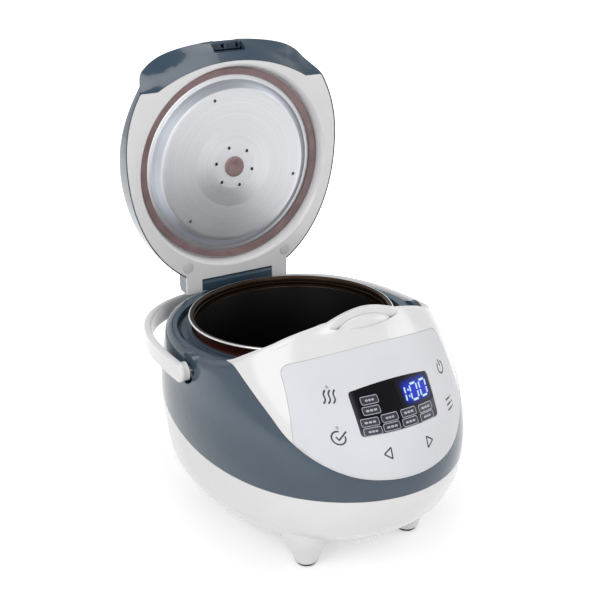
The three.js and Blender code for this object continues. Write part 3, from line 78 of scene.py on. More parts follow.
class Finish:  # a material and the few ways of adding to it
    def __init__(self, name, **fixed):
        self.material = bpy.data.materials.new(name)
        self.material.use_nodes = True
        self.tree = self.material.node_tree
        self.shader = self.tree.nodes["Principled BSDF"]
        self.set(**fixed)

    def add(self, kind, settings=None, inputs=None, output=0):
        node = self.tree.nodes.new(kind)
        for key, value in (settings or {}).items():
            if key == "stops":
                for at, (place, colour) in enumerate(value):
                    stop = node.color_ramp.elements[at] if at < 2 else node.color_ramp.elements.new(place)
                    stop.position = place
                    stop.color = (*colour, 1)
            else:
                setattr(node, key, value)
        for key, value in (inputs or {}).items():
            self.plug(node.inputs[key], value)
        return Socket(self, node.outputs[output])

    def plug(self, socket, value):
        if isinstance(value, Socket):
            self.tree.links.new(value.output, socket)
        elif isinstance(value, tuple) and len(value) == 3 and socket.type == "RGBA":
            socket.default_value = (*value, 1)
        else:
            socket.default_value = value

    def set(self, **values):
        for name, value in values.items():
            words = {"baseColor": "Base Color", "coatWeight": "Coat Weight", "coatRoughness": "Coat Roughness",
                     "emissionColor": "Emission Color", "emissionStrength": "Emission Strength",
                     "specular": "Specular IOR Level", "sheen": "Sheen Weight"}
            self.plug(self.shader.inputs[words.get(name, name.capitalize())], value)
        return self

    def place(self):
        return self.add("ShaderNodeTexCoord", output="Object")

    def parts(self, vector):
        first = self.add("ShaderNodeSeparateXYZ", inputs={0: vector})
        return [Socket(self, output) for output in first.output.node.outputs]

    def noise(self, vector, scale, detail=3, roughness=0.5):
        values = {"Vector": vector, "Scale": scale, "Detail": detail, "Roughness": roughness}
        return self.add("ShaderNodeTexNoise", inputs=values)

    def mix(self, share, first, second):
        return self.add("ShaderNodeMix", {"data_type": "RGBA"}, {0: share, 6: first, 7: second}, 2)

    def bump(self, height, depth, strength=1.0):
        normal = self.add("ShaderNodeBump", {}, {"Height": height, "Distance": depth, "Strength": strength})
        return self.set(normal=normal)


def radiusAbout(finish, vector, centre, across="xy"):  # distance from an axis through a point
    axes = dict(zip("xyz", finish.parts(vector)))
    first, second = [axes[key] - centre["xyz".index(key)] for key in across]
    return (first * first + second * second) ** 0.5


# ---- finishes ----

plastics = {
    "whiteGloss": {"colour": (0.775, 0.768, 0.775), "roughness": 0.2, "tint": 0.985, "coat": 0.35},
    "slateGloss": {"colour": (0.036, 0.066, 0.1), "roughness": 0.2, "tint": 0.93, "coat": 0.4},
    "slateSatin": {"colour": (0.05, 0.085, 0.125), "roughness": 0.34, "tint": 0.92, "coat": 0.05},
    "fasciaSatin": {"colour": (0.7, 0.71, 0.745), "roughness": 0.46, "tint": 0.985, "coat": 0.0},
    "paleGrey": {"colour": (0.6, 0.6, 0.585), "roughness": 0.5, "tint": 0.95, "coat": 0.0},
    "blackPlastic": {"colour": (0.02, 0.02, 0.022), "roughness": 0.45, "tint": 0.8, "coat": 0.0},
    "footRubber": {"colour": (0.05, 0.05, 0.052), "roughness": 0.8, "tint": 0.8, "coat": 0.0},
    "symbolInk": {"colour": (0.05, 0.062, 0.075), "roughness": 0.55, "tint": 0.9, "coat": 0.0},
    "indicatorGrey": {"colour": (0.42, 0.5, 0.56), "roughness": 0.4, "tint": 0.9, "coat": 0.2},
    "copperLine": {"colour": (0.2, 0.09, 0.055), "roughness": 0.5, "tint": 0.8, "coat": 0.0},
}


def plasticFinish(name, colour, roughness, tint, coat):
    finish = Finish(name, coatWeight=coat, coatRoughness=0.06)
    place = finish.place()
    cloud = finish.noise(place, 38, 2)
    grain = finish.noise(place, 900, 2)
    finish.set(baseColor=finish.mix(cloud.ramp(0.35, 0.7), tuple(part * tint for part in colour), colour))
    finish.set(roughness=roughness + 0.05 * (cloud - 0.5) + 0.06 * (grain - 0.5))
    finish.bump(grain + 6 * finish.noise(place, 140, 1), 0.000012, 0.6)
    return finish.material


finishes = {name: plasticFinish(name, **values) for name, values in plastics.items()}


def brushedDisc(name, centre, across):  # aluminium brushed in rings about its middle
    finish = Finish(name, metallic=0.85, specular=0.5)
    place = finish.place()
    radius = radiusAbout(finish, place, centre, across)
    rings = finish.add("ShaderNodeCombineXYZ", inputs={0: radius})
    fine = finish.noise(rings, 3800, 2, 0.7)
    broad = finish.noise(rings, 420, 2, 0.6)
    speck = finish.noise(place, 620, 3, 0.6)
    worn = finish.noise(place, 26, 2)
    tone = (0.55 * fine + 0.3 * broad + 0.15 * speck).ramp(0.3, 0.7)
    flat = finish.mix(tone, (0.66, 0.67, 0.7), (0.8, 0.805, 0.825))
    # painted shade: the slope band between the plateau and the ring gets a darker, bluer base colour that stands in for
    # the darker surroundings it reflects; it is not the metal's own colour
    slope = radius.band(0.0656, 0.0718, 0.0004)
    finish.set(baseColor=finish.mix(slope, flat, finish.mix(tone, (0.42, 0.445, 0.5), (0.55, 0.575, 0.63))))
    finish.set(roughness=0.42 + 0.1 * (speck - 0.5) + 0.1 * (worn - 0.5))
    finish.bump(fine + 0.5 * broad, 0.00002, 0.55)
    return finish.material


def plainMetal(name, colour, roughness, streak):
    finish = Finish(name, metallic=1.0)
    place = finish.place()
    stretch = finish.add("ShaderNodeMapping", inputs={"Vector": place, "Scale": streak})
    grain = finish.noise(stretch, 300, 3, 0.6)
    finish.set(baseColor=finish.mix(grain.ramp(0.3, 0.7), tuple(part * 0.82 for part in colour), colour))
    finish.set(roughness=roughness + 0.16 * (grain - 0.5))
    finish.bump(grain, 0.00002, 0.5)
    return finish.material


def siliconeFinish(name):
    finish = Finish(name, sheen=0.3)
    place = finish.place()
    cloud = finish.noise(place, 60, 3)
    finish.set(baseColor=finish.mix(cloud.ramp(0.3, 0.75), (0.2, 0.125, 0.128), (0.275, 0.18, 0.183)))
    finish.set(roughness=0.42 + 0.14 * (finish.noise(place, 700, 2) - 0.5) + 0.1 * (cloud - 0.5))
    finish.bump(finish.noise(place, 1200, 2), 0.00002, 0.5)
    return finish.material


def circuitFinish(name):
    finish = Finish(name)
    place = finish.place()
    tracks = finish.add("ShaderNodeTexBrick", {"offset": 0.37}, {
        "Vector": place, "Scale": 90, "Color1": (0.012, 0.09, 0.035), "Color2": (0.02, 0.12, 0.05),
        "Mortar": (0.06, 0.2, 0.08), "Mortar Size": 0.03})
    dots = finish.add("ShaderNodeTexVoronoi", inputs={"Vector": place, "Scale": 240})
    finish.set(baseColor=finish.mix(dots.ramp(0.1, 0.16), (0.6, 0.58, 0.5), tracks), roughness=0.42)
    finish.bump(dots, 0.00005, 0.4)
    return finish.material


finishes["steel"] = plainMetal("steel", (0.62, 0.63, 0.65), 0.28, (1, 1, 6))
finishes["aluminium"] = plainMetal("aluminium", (0.72, 0.73, 0.75), 0.36, (1, 1, 0.2))
finishes["silicone"] = siliconeFinish("silicone")
finishes["circuitBoard"] = circuitFinish("circuitBoard")
print("finishes ready")


# ---- ways of making a form ----

def alone(form):
    if bpy.context.object and bpy.context.object.mode == "EDIT":
        bpy.ops.object.mode_set(mode="OBJECT")
    bpy.ops.object.select_all(action="DESELECT")
    if form:
        form.select_set(True)
        bpy.context.view_layer.objects.active = form


def spot(x, y, z):
    return Vector((x * mm, y * mm + axisY, z * mm))


def newest(name):
    form = bpy.context.object
    form.name = name
    form.data.name = name
    return form


def closeUp(form):  # joins what meets and turns every face outwards
    alone(form)
    bpy.ops.object.mode_set(mode="EDIT")
    bpy.ops.mesh.select_all(action="SELECT")
    bpy.ops.mesh.remove_doubles(threshold=0.000002)
    bpy.ops.mesh.normals_make_consistent(inside=False)
    bpy.ops.object.mode_set(mode="OBJECT")
    return form


def ringForm(name, rings, sides):  # a circle extruded from ring to ring; direction 0 is the front
    alone(None)
    bpy.ops.mesh.primitive_circle_add(vertices=sides, radius=1)
    form = newest(name)
    bpy.ops.object.mode_set(mode="EDIT")
    shape = bmesh.from_edit_mesh(form.data)
    turn = shape.verts.layers.float.new("turn")
    for vert in shape.verts:
        vert[turn] = math.atan2(vert.co.x, -vert.co.y)
    for at, ring in enumerate(rings):
        if at:
            bpy.ops.mesh.extrude_region_move()
        shape = bmesh.from_edit_mesh(form.data)
        turn = shape.verts.layers.float["turn"]
        for vert in shape.verts:
            if vert.select:
                vert.co = spot(*ring(vert[turn]))
    bmesh.update_edit_mesh(form.data)
    bpy.ops.object.mode_set(mode="OBJECT")
    form.data.attributes.remove(form.data.attributes["turn"])
    return closeUp(form)


def plateForm(name, outline, across, low, high):  # a flat outline, extruded across its plane
    alone(None)
    bpy.ops.mesh.primitive_circle_add(vertices=len(outline), radius=1, fill_type="NGON")
    form = newest(name)
    order = {"x": lambda u, v, w: (w, u, v), "y": lambda u, v, w: (u, w, v), "z": lambda u, v, w: (u, v, w)}[across]
    for vert, (u, v) in zip(form.data.vertices, outline):
        vert.co = spot(*order(u, v, low))
    bpy.ops.object.mode_set(mode="EDIT")
    bpy.ops.mesh.select_all(action="SELECT")
    bpy.ops.mesh.extrude_region_move(TRANSFORM_OT_translate={
        "value": spot(*order(0, 0, high)) - spot(*order(0, 0, low))})
    bpy.ops.object.mode_set(mode="OBJECT")
    return closeUp(form)


def rodForm(name, radius, length, across, x, y, z, sides=48):
    alone(None)
    turned = {"x": (0, math.pi / 2, 0), "y": (math.pi / 2, 0, 0), "z": (0, 0, 0)}[across]
    bpy.ops.mesh.primitive_cylinder_add(
        vertices=sides, radius=radius * mm, depth=length * mm, location=spot(x, y, z), rotation=turned)
    bpy.ops.object.transform_apply(location=True, rotation=True, scale=True)
    return newest(name)


def boxForm(name, low, high):
    alone(None)
    size = [(b - a) * mm for a, b in zip(low, high)]
    middle = (spot(*low) + spot(*high)) / 2
    bpy.ops.mesh.primitive_cube_add(size=1, location=middle, scale=size)
    bpy.ops.object.transform_apply(location=True, rotation=True, scale=True)
    return newest(name)


def cutBy(form, tool, how="DIFFERENCE"):
    alone(form)
    cut = form.modifiers.new("cut", "BOOLEAN")
    cut.object = tool
    cut.operation = how
    cut.solver = "EXACT"
    bpy.ops.object.modifier_apply(modifier=cut.name)
    bpy.data.objects.remove(tool, do_unlink=True)
    return form


def softEdges(form, width, steps=3, angle=40):
    alone(form)
    soft = form.modifiers.new("soft", "BEVEL")
    soft.width = width * mm
    soft.segments = steps
    soft.limit_method = "ANGLE"
    soft.angle_limit = math.radians(angle)
    bpy.ops.object.modifier_apply(modifier=soft.name)
    return form


def gather(name, forms):  # several forms as one piece
    alone(None)
    for form in forms:
        form.select_set(True)
    bpy.context.view_layer.objects.active = forms[0]
    bpy.ops.object.join()
    return newest(name)


def settle(form, body, slot, finish, *nodes, smooth=32):
    alone(form)
    bpy.ops.object.shade_smooth_by_angle(angle=math.radians(smooth))
    if finish:
        form.data.materials.clear()
        form.data.materials.append(finishes[finish])
    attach(form, body)
    if nodes:
        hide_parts(*nodes)
    return form


def circle(radius, height):
    return lambda turn: (radius * math.sin(turn), -radius * math.cos(turn), height)


def turnedForm(name, profile, sides=128):
    return ringForm(name, [circle(radius, height) for radius, height in profile], sides)


def through(rows, place):  # smooth value through rows of (place, value)
    held = min(max(place, rows[0][0]), rows[-1][0])
    last = len(rows) - 1

    def slope(at):
        before, after = rows[max(at - 1, 0)], rows[min(at + 1, last)]
        return (after[1] - before[1]) / (after[0] - before[0])

    at = max(next(n for n, row in enumerate(rows) if row[0] >= held), 1) - 1
    (x0, y0), (x1, y1) = rows[at], rows[at + 1]
    span = x1 - x0
    t = (held - x0) / span
    return ((2 * t**3 - 3 * t**2 + 1) * y0 + (t**3 - 2 * t**2 + t) * span * slope(at)
            + (3 * t**2 - 2 * t**3) * y1 + (t**3 - t**2) * span * slope(at + 1))


def shares(count):
    return [at / count for at in range(count + 1)]


def splinePoints(points, count):  # a smooth line through every point
    last = len(points) - 1
    line = []
    for share in shares(count):
        at = min(int(share * last), last - 1)
        t = share * last - at
        p0, p1, p2, p3 = [points[min(max(at + step, 0), last)] for step in (-1, 0, 1, 2)]
        line.append(tuple(
            (2 * b - 2 * c + (c - a) / 2 + (d - b) / 2) * t**3
            + (-3 * b + 3 * c - (c - a) - (d - b) / 2) * t**2 + (c - a) / 2 * t + b
            for a, b, c, d in zip(p0, p1, p2, p3)))
    return line


def bend(start, pull, end, count=16):  # a curve from start to end, drawn towards pull
    return [tuple((1 - t)**2 * a + 2 * t * (1 - t) * b + t * t * c for a, b, c in zip(start, pull, end))
            for t in shares(count)]


def arc(centre, radius, first, last, count=32):
    return [(centre[0] + radius * math.cos(first + (last - first) * t),
             centre[1] + radius * math.sin(first + (last - first) * t)) for t in shares(count)]


# ---- the housing's own curves ----

housing = {
    "rim": 157, "widestY": -18, "backPower": 2.15, "wall": 2.6, "shoulder": 3.6, "lip": 2.6, "fit": 0.3, "sides": 200,
    # height, reach to the side, to the front and to the back, and how square the front is
    "stations": [
        (20.0, 79, 122, 83, 2), (50.0, 102, 158, 95, 2), (85.0, 108.5, 170.5, 102, 2), (120.0, 109, 163.4, 104.5, 2),
        (150.0, 103.5, 143, 104, 2.1), (172.0, 97.5, 122, 102, 2.15), (187.0, 91, 112.5, 99, 2.15),
        (201.0, 83, 107.6, 96, 2.15)],
    # rise of the front's crest above the rim by distance from the middle
    "crest": [(0, 37.4), (20, 37), (34, 36), (42, 34), (50, 31.4), (58, 28.2), (66, 24.2), (74, 19.8), (82, 14),
              (89, 8.2), (101.8, 0)],
    # depth and height of the seam between the shell and the base
    "seam": [(-175, 81.5), (-120, 80.5), (-85, 82.4), (-50, 86.5), (-18, 92.9), (12, 101), (50, 110.1), (110, 118.1)],
    # right half of the front panel's outline from its lowest point, with heights against the rim
    "bib": [(0, -61), (35, -57.8), (58, -48.2), (72.7, -34), (79.5, -19), (84.3, -6), (87.8, 6), (90, 15)],
}
lid = {
    "aboveRim": 1.5, "side": 96.5, "roundFront": 118, "back": 104, "arcRadius": 240, "front": 102.6, "corner": 30,
    "skirt": 14, "dome": 31.5, "domePower": 2.3, "wall": 2.4, "edge": 0.6, "chinRise": 18, "chinStart": 69.5,
    "chinEnd": 84, "creaseRadius": 99.6, "creaseRise": 11, "panelArc": 130, "panelFront": 89, "panelSide": 52.5,
    "panel": 2, "clearance": 1, "sides": 360, "noseDrop": 8, "nosePower": 0.7,
}
rim = housing["rim"]
lidPlane = rim + lid["aboveRim"]
panelTop = lidPlane + lid["panel"]


def reach(height, inset=0):
    side, front, back, power = [
        through([(row[0], row[key]) for row in housing["stations"]], height) for key in (1, 2, 3, 4)]
    return {"side": side - inset, "front": front - inset, "back": back - inset, "power": power}


def lidReach(inset=0):
    return {"side": lid["side"] - inset, "front": lid["roundFront"] - inset, "back": lid["back"] - inset, "power": 2,
            "arc": lid["arcRadius"] - inset, "arcFront": lid["front"] - inset}


def wellReach(grow=0):  # the well in the top that the lid drops into
    well = lidReach(-lid["clearance"] - grow)
    well["back"] = reach(rim)["back"] - housing["shoulder"] - housing["lip"] + grow
    return well


def shareToArc(x, y, radius, front):  # share of the way from the middle at which an arc is met
    centre = radius - front
    run = y - housing["widestY"]
    a = x * x + run * run
    b = 2 * run * (housing["widestY"] - centre)
    c = (housing["widestY"] - centre)**2 - radius * radius
    return (-b + math.sqrt(b * b - 4 * a * c)) / (2 * a)


def outline(turn, size):
    across, along = math.sin(turn), -math.cos(turn)
    middle = housing["widestY"]
    power = 2 / (size["power"] if along < 0 else housing["backPower"])
    depth = size["front"] + middle if along < 0 else size["back"] - middle
    x = size["side"] * math.copysign(abs(across)**power, across)
    run = depth * math.copysign(abs(along)**power, along)
    if along >= 0 or "arc" not in size:
        return x, middle + run
    share = shareToArc(x, middle + run, size["arc"], size["arcFront"])
    held = (1 + share**-lid["corner"])**(-1 / lid["corner"])
    return x * held, middle + run * held


def housingPoint(turn, height, inset=0):
    return (*outline(turn, reach(height, inset)), height)


def seamAt(turn):
    height = housing["seam"][0][1]
    for again in range(3):
        height = through(housing["seam"], housingPoint(turn, height)[1])
    return height


def rimAt(turn):
    height = rim
    if math.cos(turn) > 0:
        for again in range(4):
            height = rim + through(housing["crest"], abs(housingPoint(turn, height)[0]))
    return height


def frontAt(x, height, inset=0):  # depth of the housing's front at a place across and up
    size = reach(height, inset)
    share = min(abs(x) / size["side"], 1)
    return housing["widestY"] - (size["front"] + housing["widestY"]) * (1 - share**size["power"])**(1 / size["power"])


def bibOutline(grow):
    points = housing["bib"]
    right = []
    for x, height in points:
        lean = x / points[-1][0]
        right.append((x + grow * lean, rim + height - grow * (1 - lean)))
    left = [(-x, height) for x, height in right[:0:-1]]
    return splinePoints(left + right, 180)


def bibTool(grow):
    edge = bibOutline(grow)
    closed = edge + [(edge[-1][0], 300), (edge[0][0], 300)]
    return plateForm("bibTool", closed, "y", -300, -30)


quarter = [math.pi / 2 * share for share in shares(5)]
wallRows = shares(26)


# ---- base, shell and the line between them ----

handle = {
    "pivotY": -27, "height": 146.7, "halfWidth": 107.69, "length": 142, "power": 2.77, "tilt": -1.5, "thickness": 5.6,
    "band": 15.5, "edge": 2.1, "disc": 7.2, "discInset": 2.4, "recess": 10, "padRadius": 13, "padDepth": 5.6,
    "socketDepth": 3,
}
hinge = {
    "y": 99.6, "height": 163.2, "open": 86.5, "knuckle": 10.5, "knuckleBack": 6.4, "legRoot": 18.5, "legInside": 34,
    "legOutside": 48.3, "bridge": 4.4, "bridgeDepth": 8.6, "sideGap": 0.6, "sweep": 0.8, "pin": 2,
}


def knuckleRoom(side):
    width = hinge["legOutside"] - hinge["legInside"] + 0.6
    middle = side * (hinge["legInside"] + hinge["legOutside"]) / 2
    radius = math.hypot(hinge["knuckleBack"], hinge["height"] - lidPlane) + hinge["sweep"]
    return rodForm("knuckleRoom", radius, width, "x", middle, hinge["y"], hinge["height"])


def bodyShell():
    fit, wall, shoulder = housing["fit"], housing["wall"], housing["shoulder"]

    def row(share, inset, drop):
        def ring(turn):
            low = seamAt(turn) + fit
            return housingPoint(turn, low + share * (rimAt(turn) - drop - low), inset)
        return ring

    def shoulderRing(step):
        return lambda turn: housingPoint(
            turn, rimAt(turn) - shoulder * (1 - math.sin(step)), shoulder * (1 - math.cos(step)))

    def lipRing(drop):
        return lambda turn: (*outline(turn, wellReach()), rimAt(turn) - drop)

    rings = [row(share, 0, shoulder) for share in wallRows] + [shoulderRing(step) for step in quarter[1:]]
    rings += [lipRing(0), lipRing(wall)] + [row(share, wall, shoulder + wall) for share in wallRows[::-1]]
    form = ringForm("body_shell_smooth", rings + rings[:1], housing["sides"])
    form = cutBy(form, bibTool(fit))
    floor = handle["halfWidth"] - handle["discInset"] - handle["socketDepth"]
    for side in (-1, 1):
        form = cutBy(form, rodForm("socket", handle["recess"], 20, "x", side * (floor + 10), handle["pivotY"],
                                   handle["height"], 64))
        form = cutBy(form, knuckleRoom(side))
    pads = [rodForm("socketPad", handle["padRadius"], handle["padDepth"], "x", side * (floor - 2.9), handle["pivotY"],
                    handle["height"], 64) for side in (-1, 1)]
    form = gather("body_shell_smooth", [form] + pads)
    return settle(form, "body", "slate_housing", "slateGloss", "body_shell", smooth=28)


legs = {
    "x": 46, "frontY": -97, "backY": 60, "floor": 20, "pan": 2.6, "edge": 3, "hole": 58,
    "profile": [(0, 2.4), (8.3, 2.4), (9.2, 3.2), (10.4, 7), (12.5, 12), (14.6, 16), (16.4, 19.5), (18, 23),
                (19.4, 27), (20.4, 32), (20.8, 38), (0, 38)],
    "pad": [(0, 0), (6.8, 0), (7.6, 0.8), (7.6, 3.4), (0, 3.4)],
}
legPlaces = [(side * legs["x"], y) for y in (legs["frontY"], legs["backY"]) for side in (-1, 1)]
inlet = {"height": 45, "width": 31, "tall": 23, "depth": 20, "wall": 3, "mouth": 14}


def inletFace():
    return reach(inlet["height"] - inlet["tall"] / 2)["back"] - 0.3


def moved(form, x, y):
    alone(form)
    bpy.ops.transform.translate(value=(x * mm, y * mm, 0))
    bpy.ops.object.transform_apply(location=True, rotation=True, scale=True)
    return form


def baseShell():
    floor, pan, edge = legs["floor"], legs["pan"], legs["edge"]
    rows = shares(22)

    def row(share, inset, low):
        return lambda turn: housingPoint(turn, low + share * (seamAt(turn) - low), inset)

    corner = [lambda turn, step=step: housingPoint(
        turn, floor + edge * (1 - math.cos(step)), edge * (1 - math.sin(step))) for step in quarter[:-1]]
    rings = corner + [row(share, 0, floor + edge) for share in rows]
    rings += [row(share, housing["wall"], floor + pan) for share in rows[::-1]]
    rings += [circle(legs["hole"], floor + pan), circle(legs["hole"], floor)] + corner[:1]
    form = ringForm("base_shell_smooth", rings, housing["sides"])
    hollow = [lambda turn: (0, 0, floor + pan)]  # what the legs mustn't fill
    hollow += [lambda turn, share=share: housingPoint(
        turn, floor + pan + share * (seamAt(turn) + 10 - floor - pan), housing["wall"] / 2) for share in shares(6)]
    hollow += [lambda turn: (0, 0, 100)]
    for x, y in legPlaces:
        leg = moved(turnedForm("leg", legs["profile"], 96), x, y)
        leg = cutBy(leg, ringForm("hollow", hollow, 96))
        leg = cutBy(leg, rodForm("coverRoom", legs["hole"], pan, "z", 0, 0, floor + pan / 2, 128))
        leg = cutBy(leg, rodForm("padRoom", 7.9, 2.6, "z", x, y, 2.4))
        form = cutBy(form, leg, "UNION")
    face = inletFace()
    half = inlet["width"] / 2 + 0.3
    rise = inlet["tall"] / 2 + 0.3
    form = cutBy(form, boxForm("inletRoom", (-half, face - 15, inlet["height"] - rise),
                               (half, face + 15, inlet["height"] + rise)))
    return settle(form, "body", "white_housing", "whiteGloss", "base_shell", smooth=42)


def seamLine():  # a thin coloured joint between the two housings
    rings = [lambda turn, drop=drop, inset=inset: housingPoint(turn, seamAt(turn) + drop, inset)
             for drop, inset in ((-0.12, 0.12), (0.52, 0.12), (0.52, 1.4), (-0.12, 1.4), (-0.12, 0.12))]
    return settle(ringForm("seam_line", rings, housing["sides"]), "body", "slate_housing", "copperLine")


bodyShell()
baseShell()
seamLine()
print("housing ready")


# ---- front panel, fascia and display ----

front = {"brow": 6.2, "browHalf": 31, "edge": 1.4, "ridge": 2.2, "sides": 320, "below": 67, "above": 29,
         "latchLow": (-10.2, -106.9, 174), "latchHigh": (10.2, -100.3, 183.4)}
button = {
    "half": 29, "cornerY": -107.2, "backSag": 1, "frontSag": 5.1, "crown": 184, "crownY": -105, "crownSide": 25.6,
    "crownDepth": 7.4, "crownRise": 11.4, "shelf": 2.6, "gap": 0.5, "floor": 167, "bottom": 184,
}
fascia = {"thickness": 1.2, "corner": 6, "rise": 10.5, "arch": 9.3, "half": 67, "margin": 1.2}
display = {"top": 153.6, "arch": 2.6, "tall": 26.6, "lean": 0.06, "lowArch": 0.8, "halfTop": 33.4, "halfLow": 32.2,
           "corner": 3, "glass": 1.6}


def browAt(x):
    share = min(abs(x) / front["browHalf"], 1)
    return front["brow"] * (1 - share * share)


def crestAt(turn, withBrow):
    height = rimAt(turn)
    if withBrow and math.cos(turn) > 0:
        height += browAt(housingPoint(turn, height)[0])
    return height


def lensOutline(inset):
    half = button["half"]

    def radiusOf(sag):
        return (half * half + sag * sag) / (2 * sag)

    frontRadius, backRadius = radiusOf(button["frontSag"]), radiusOf(button["backSag"])
    frontY = button["cornerY"] - button["frontSag"] + frontRadius
    backY = button["cornerY"] + button["backSag"] - backRadius
    frontRadius, backRadius = frontRadius - inset, backRadius - inset
    meeting = (frontY**2 - backY**2 - frontRadius**2 + backRadius**2) / (2 * (frontY - backY))
    frontSweep = math.acos((frontY - meeting) / frontRadius)
    backSweep = math.acos((meeting - backY) / backRadius)
    return (arc((0, frontY), frontRadius, -math.pi / 2 - frontSweep, -math.pi / 2 + frontSweep, 64)
            + arc((0, backY), backRadius, math.pi / 2 - backSweep, math.pi / 2 + backSweep, 64)[1:-1])


def fasciaOutline(inset):
    half, corner = fascia["half"] - inset, fascia["corner"]
    top, lift = rim + fascia["rise"] - inset, fascia["arch"]
    limit = rim + housing["bib"][3][1]
    lower = [(x, z) for x, z in bibOutline(-fascia["margin"] - inset) if abs(x) <= half + corner and z < limit]
    return (lower + [(half, top - corner)]
            + bend((half, top - corner), (half, top), (half - corner, top + lift / 4), 10)[1:]
            + bend((half - corner, top + lift / 4), (0, top + lift * 1.75), (corner - half, top + lift / 4), 50)[1:]
            + bend((corner - half, top + lift / 4), (-half, top), (-half, top - corner), 10)[1:])


def displayOutline(grow):
    top, low = display["top"] + grow, display["top"] - display["tall"] - grow
    wide, narrow, corner = display["halfTop"] + grow, display["halfLow"] + grow, display["corner"]
    right = (bend((0, low + display["lowArch"]), (narrow / 2, low + display["lowArch"]), (narrow - corner, low), 12)
             + bend((narrow - corner, low), (narrow, low), (narrow, low + corner), 8)[1:]
             + bend((wide, top - corner), (wide, top), (wide - corner, top), 8)
             + bend((wide - corner, top), (wide / 2, top + display["arch"]), (0, top + display["arch"]), 12)[1:])
    edge = right + [(-x, z) for x, z in right[-2:0:-1]]
    return [(x + display["lean"] * (z - display["top"] + display["tall"]), z) for x, z in edge]


def layerForm(name, outside, inside):  # part of the housing's wall, as deep as it is asked to be
    low, high = rim - front["below"], rim + front["above"]
    heights = [low + (high - low) * share for share in shares(40)]
    rings = [lambda turn, z=z: housingPoint(turn, z, outside) for z in heights]
    rings += [lambda turn, z=z: housingPoint(turn, z, inside) for z in heights[::-1]]
    return ringForm(name, rings + rings[:1], front["sides"])


def inFront(name, points):
    return plateForm(name, points, "y", -300, -30)


def frontPanel():
    low, edge, wall = rim - front["below"], front["edge"], housing["wall"]
    rows = shares(34)
    gap = rim + housing["fit"]

    def outer(share):
        return lambda turn: housingPoint(turn, low + share * (crestAt(turn, True) - edge - low))

    def crestRing(step):
        return lambda turn: housingPoint(
            turn, crestAt(turn, True) - edge * (1 - math.sin(step)), edge * (1 - math.cos(step)))

    def lidSide(grow, height):
        return lambda turn: (*outline(turn, wellReach(grow)), height(turn))

    def underside(turn):
        return crestAt(turn, False) - wall - 1

    def inner(share):
        return lambda turn: housingPoint(turn, low + share * (underside(turn) - low), wall)

    rings = [outer(share) for share in rows] + [crestRing(step) for step in quarter[1:]]
    rings += [lidSide(0, lambda turn: crestAt(turn, True)), lidSide(0, lambda turn: gap)]
    rings += [lidSide(front["ridge"], lambda turn: gap), lidSide(front["ridge"], underside)]
    rings += [inner(share) for share in shares(12)[::-1]]
    form = ringForm("front_panel_smooth", rings + rings[:1], front["sides"])
    form = cutBy(form, bibTool(0), "INTERSECT")
    pocket = cutBy(layerForm("pocket", -3, fascia["thickness"] + 0.3), inFront("pocketEdge", fasciaOutline(-0.22)),
                   "INTERSECT")
    form = cutBy(form, pocket)
    form = cutBy(form, plateForm("well", lensOutline(0), "z", button["floor"], 300))
    form = cutBy(form, inFront("window", displayOutline(0.3)))
    form = cutBy(form, boxForm("latchWindow", front["latchLow"], front["latchHigh"]))
    return settle(form, "body", "white_housing", "whiteGloss", "front_panel", smooth=30)


def controlFascia():
    form = cutBy(layerForm("control_fascia_smooth", 0.02, fascia["thickness"]), inFront("edge", fasciaOutline(0)),
                 "INTERSECT")
    form = cutBy(form, inFront("window", displayOutline(0.2)))
    return settle(form, "body", "fascia", "fasciaSatin", "control_fascia", smooth=30)


def glassFinish(name):  # smoked glass, with a paler border that fades towards the middle
    finish = Finish(name, specular=0.22)
    x, y, z = finish.parts(finish.place())
    side = finish.add("ShaderNodeMath", {"operation": "ABSOLUTE"}, {0: x})
    lower = 1 - z.ramp(0.1265, 0.1315)
    border = side.ramp(0.027, 0.0345).maths("MAXIMUM", side.ramp(0.027, 0.0345), lower)
    finish.set(baseColor=finish.mix(border, (0.003, 0.0028, 0.005), (0.075, 0.066, 0.09)))
    finish.set(roughness=0.12 + 0.08 * border)
    finish.bump(finish.noise(finish.place(), 90, 1), 0.00001, 0.3)
    return finish.material


def lampFinish(name, colour, strength):
    finish = Finish(name, emissionStrength=strength, roughness=0.4)
    spread = finish.noise(finish.place(), 400, 1).ramp(0.2, 0.8)
    shade = finish.mix(spread, tuple(part * 0.85 for part in colour), colour)
    finish.set(baseColor=(0.02, 0.02, 0.03), emissionColor=shade)
    return finish.material


finishes["displayGlass"] = glassFinish("displayGlass")
finishes["litDigits"] = lampFinish("litDigits", (0.55, 0.82, 1.0), 1.0)


def glowFinish(name, x, z, halfWidth, halfTall, soft):  # blue light that fades outwards
    finish = Finish(name, emissionStrength=1.0, roughness=0.3, specular=0.2)
    across, along, up = finish.parts(finish.place())
    lit = across.band((x - halfWidth) * mm, (x + halfWidth) * mm, soft * mm)
    lit = lit * up.band((z - halfTall) * mm, (z + halfTall) * mm, soft * mm)
    spread = 0.9 + 0.1 * finish.noise(finish.place(), 500, 1)
    finish.set(baseColor=(0.003, 0.003, 0.005))
    return finish.set(emissionColor=finish.mix(lit * spread, (0.001, 0.001, 0.002), (0.006, 0.026, 0.56))).material

finishes["menuFrame"] = lampFinish("menuFrame", (0.42, 0.43, 0.48), 1.0)
finishes["menuFill"] = lampFinish("menuFill", (0.008, 0.008, 0.012), 1.0)


def displayWindow():
    form = cutBy(layerForm("display_window_smooth", 0.3, display["glass"]), inFront("edge", displayOutline(0)),
                 "INTERSECT")
    return settle(form, "body", "display_glass", "displayGlass", "display_window", smooth=30)


markPitch = 2.5


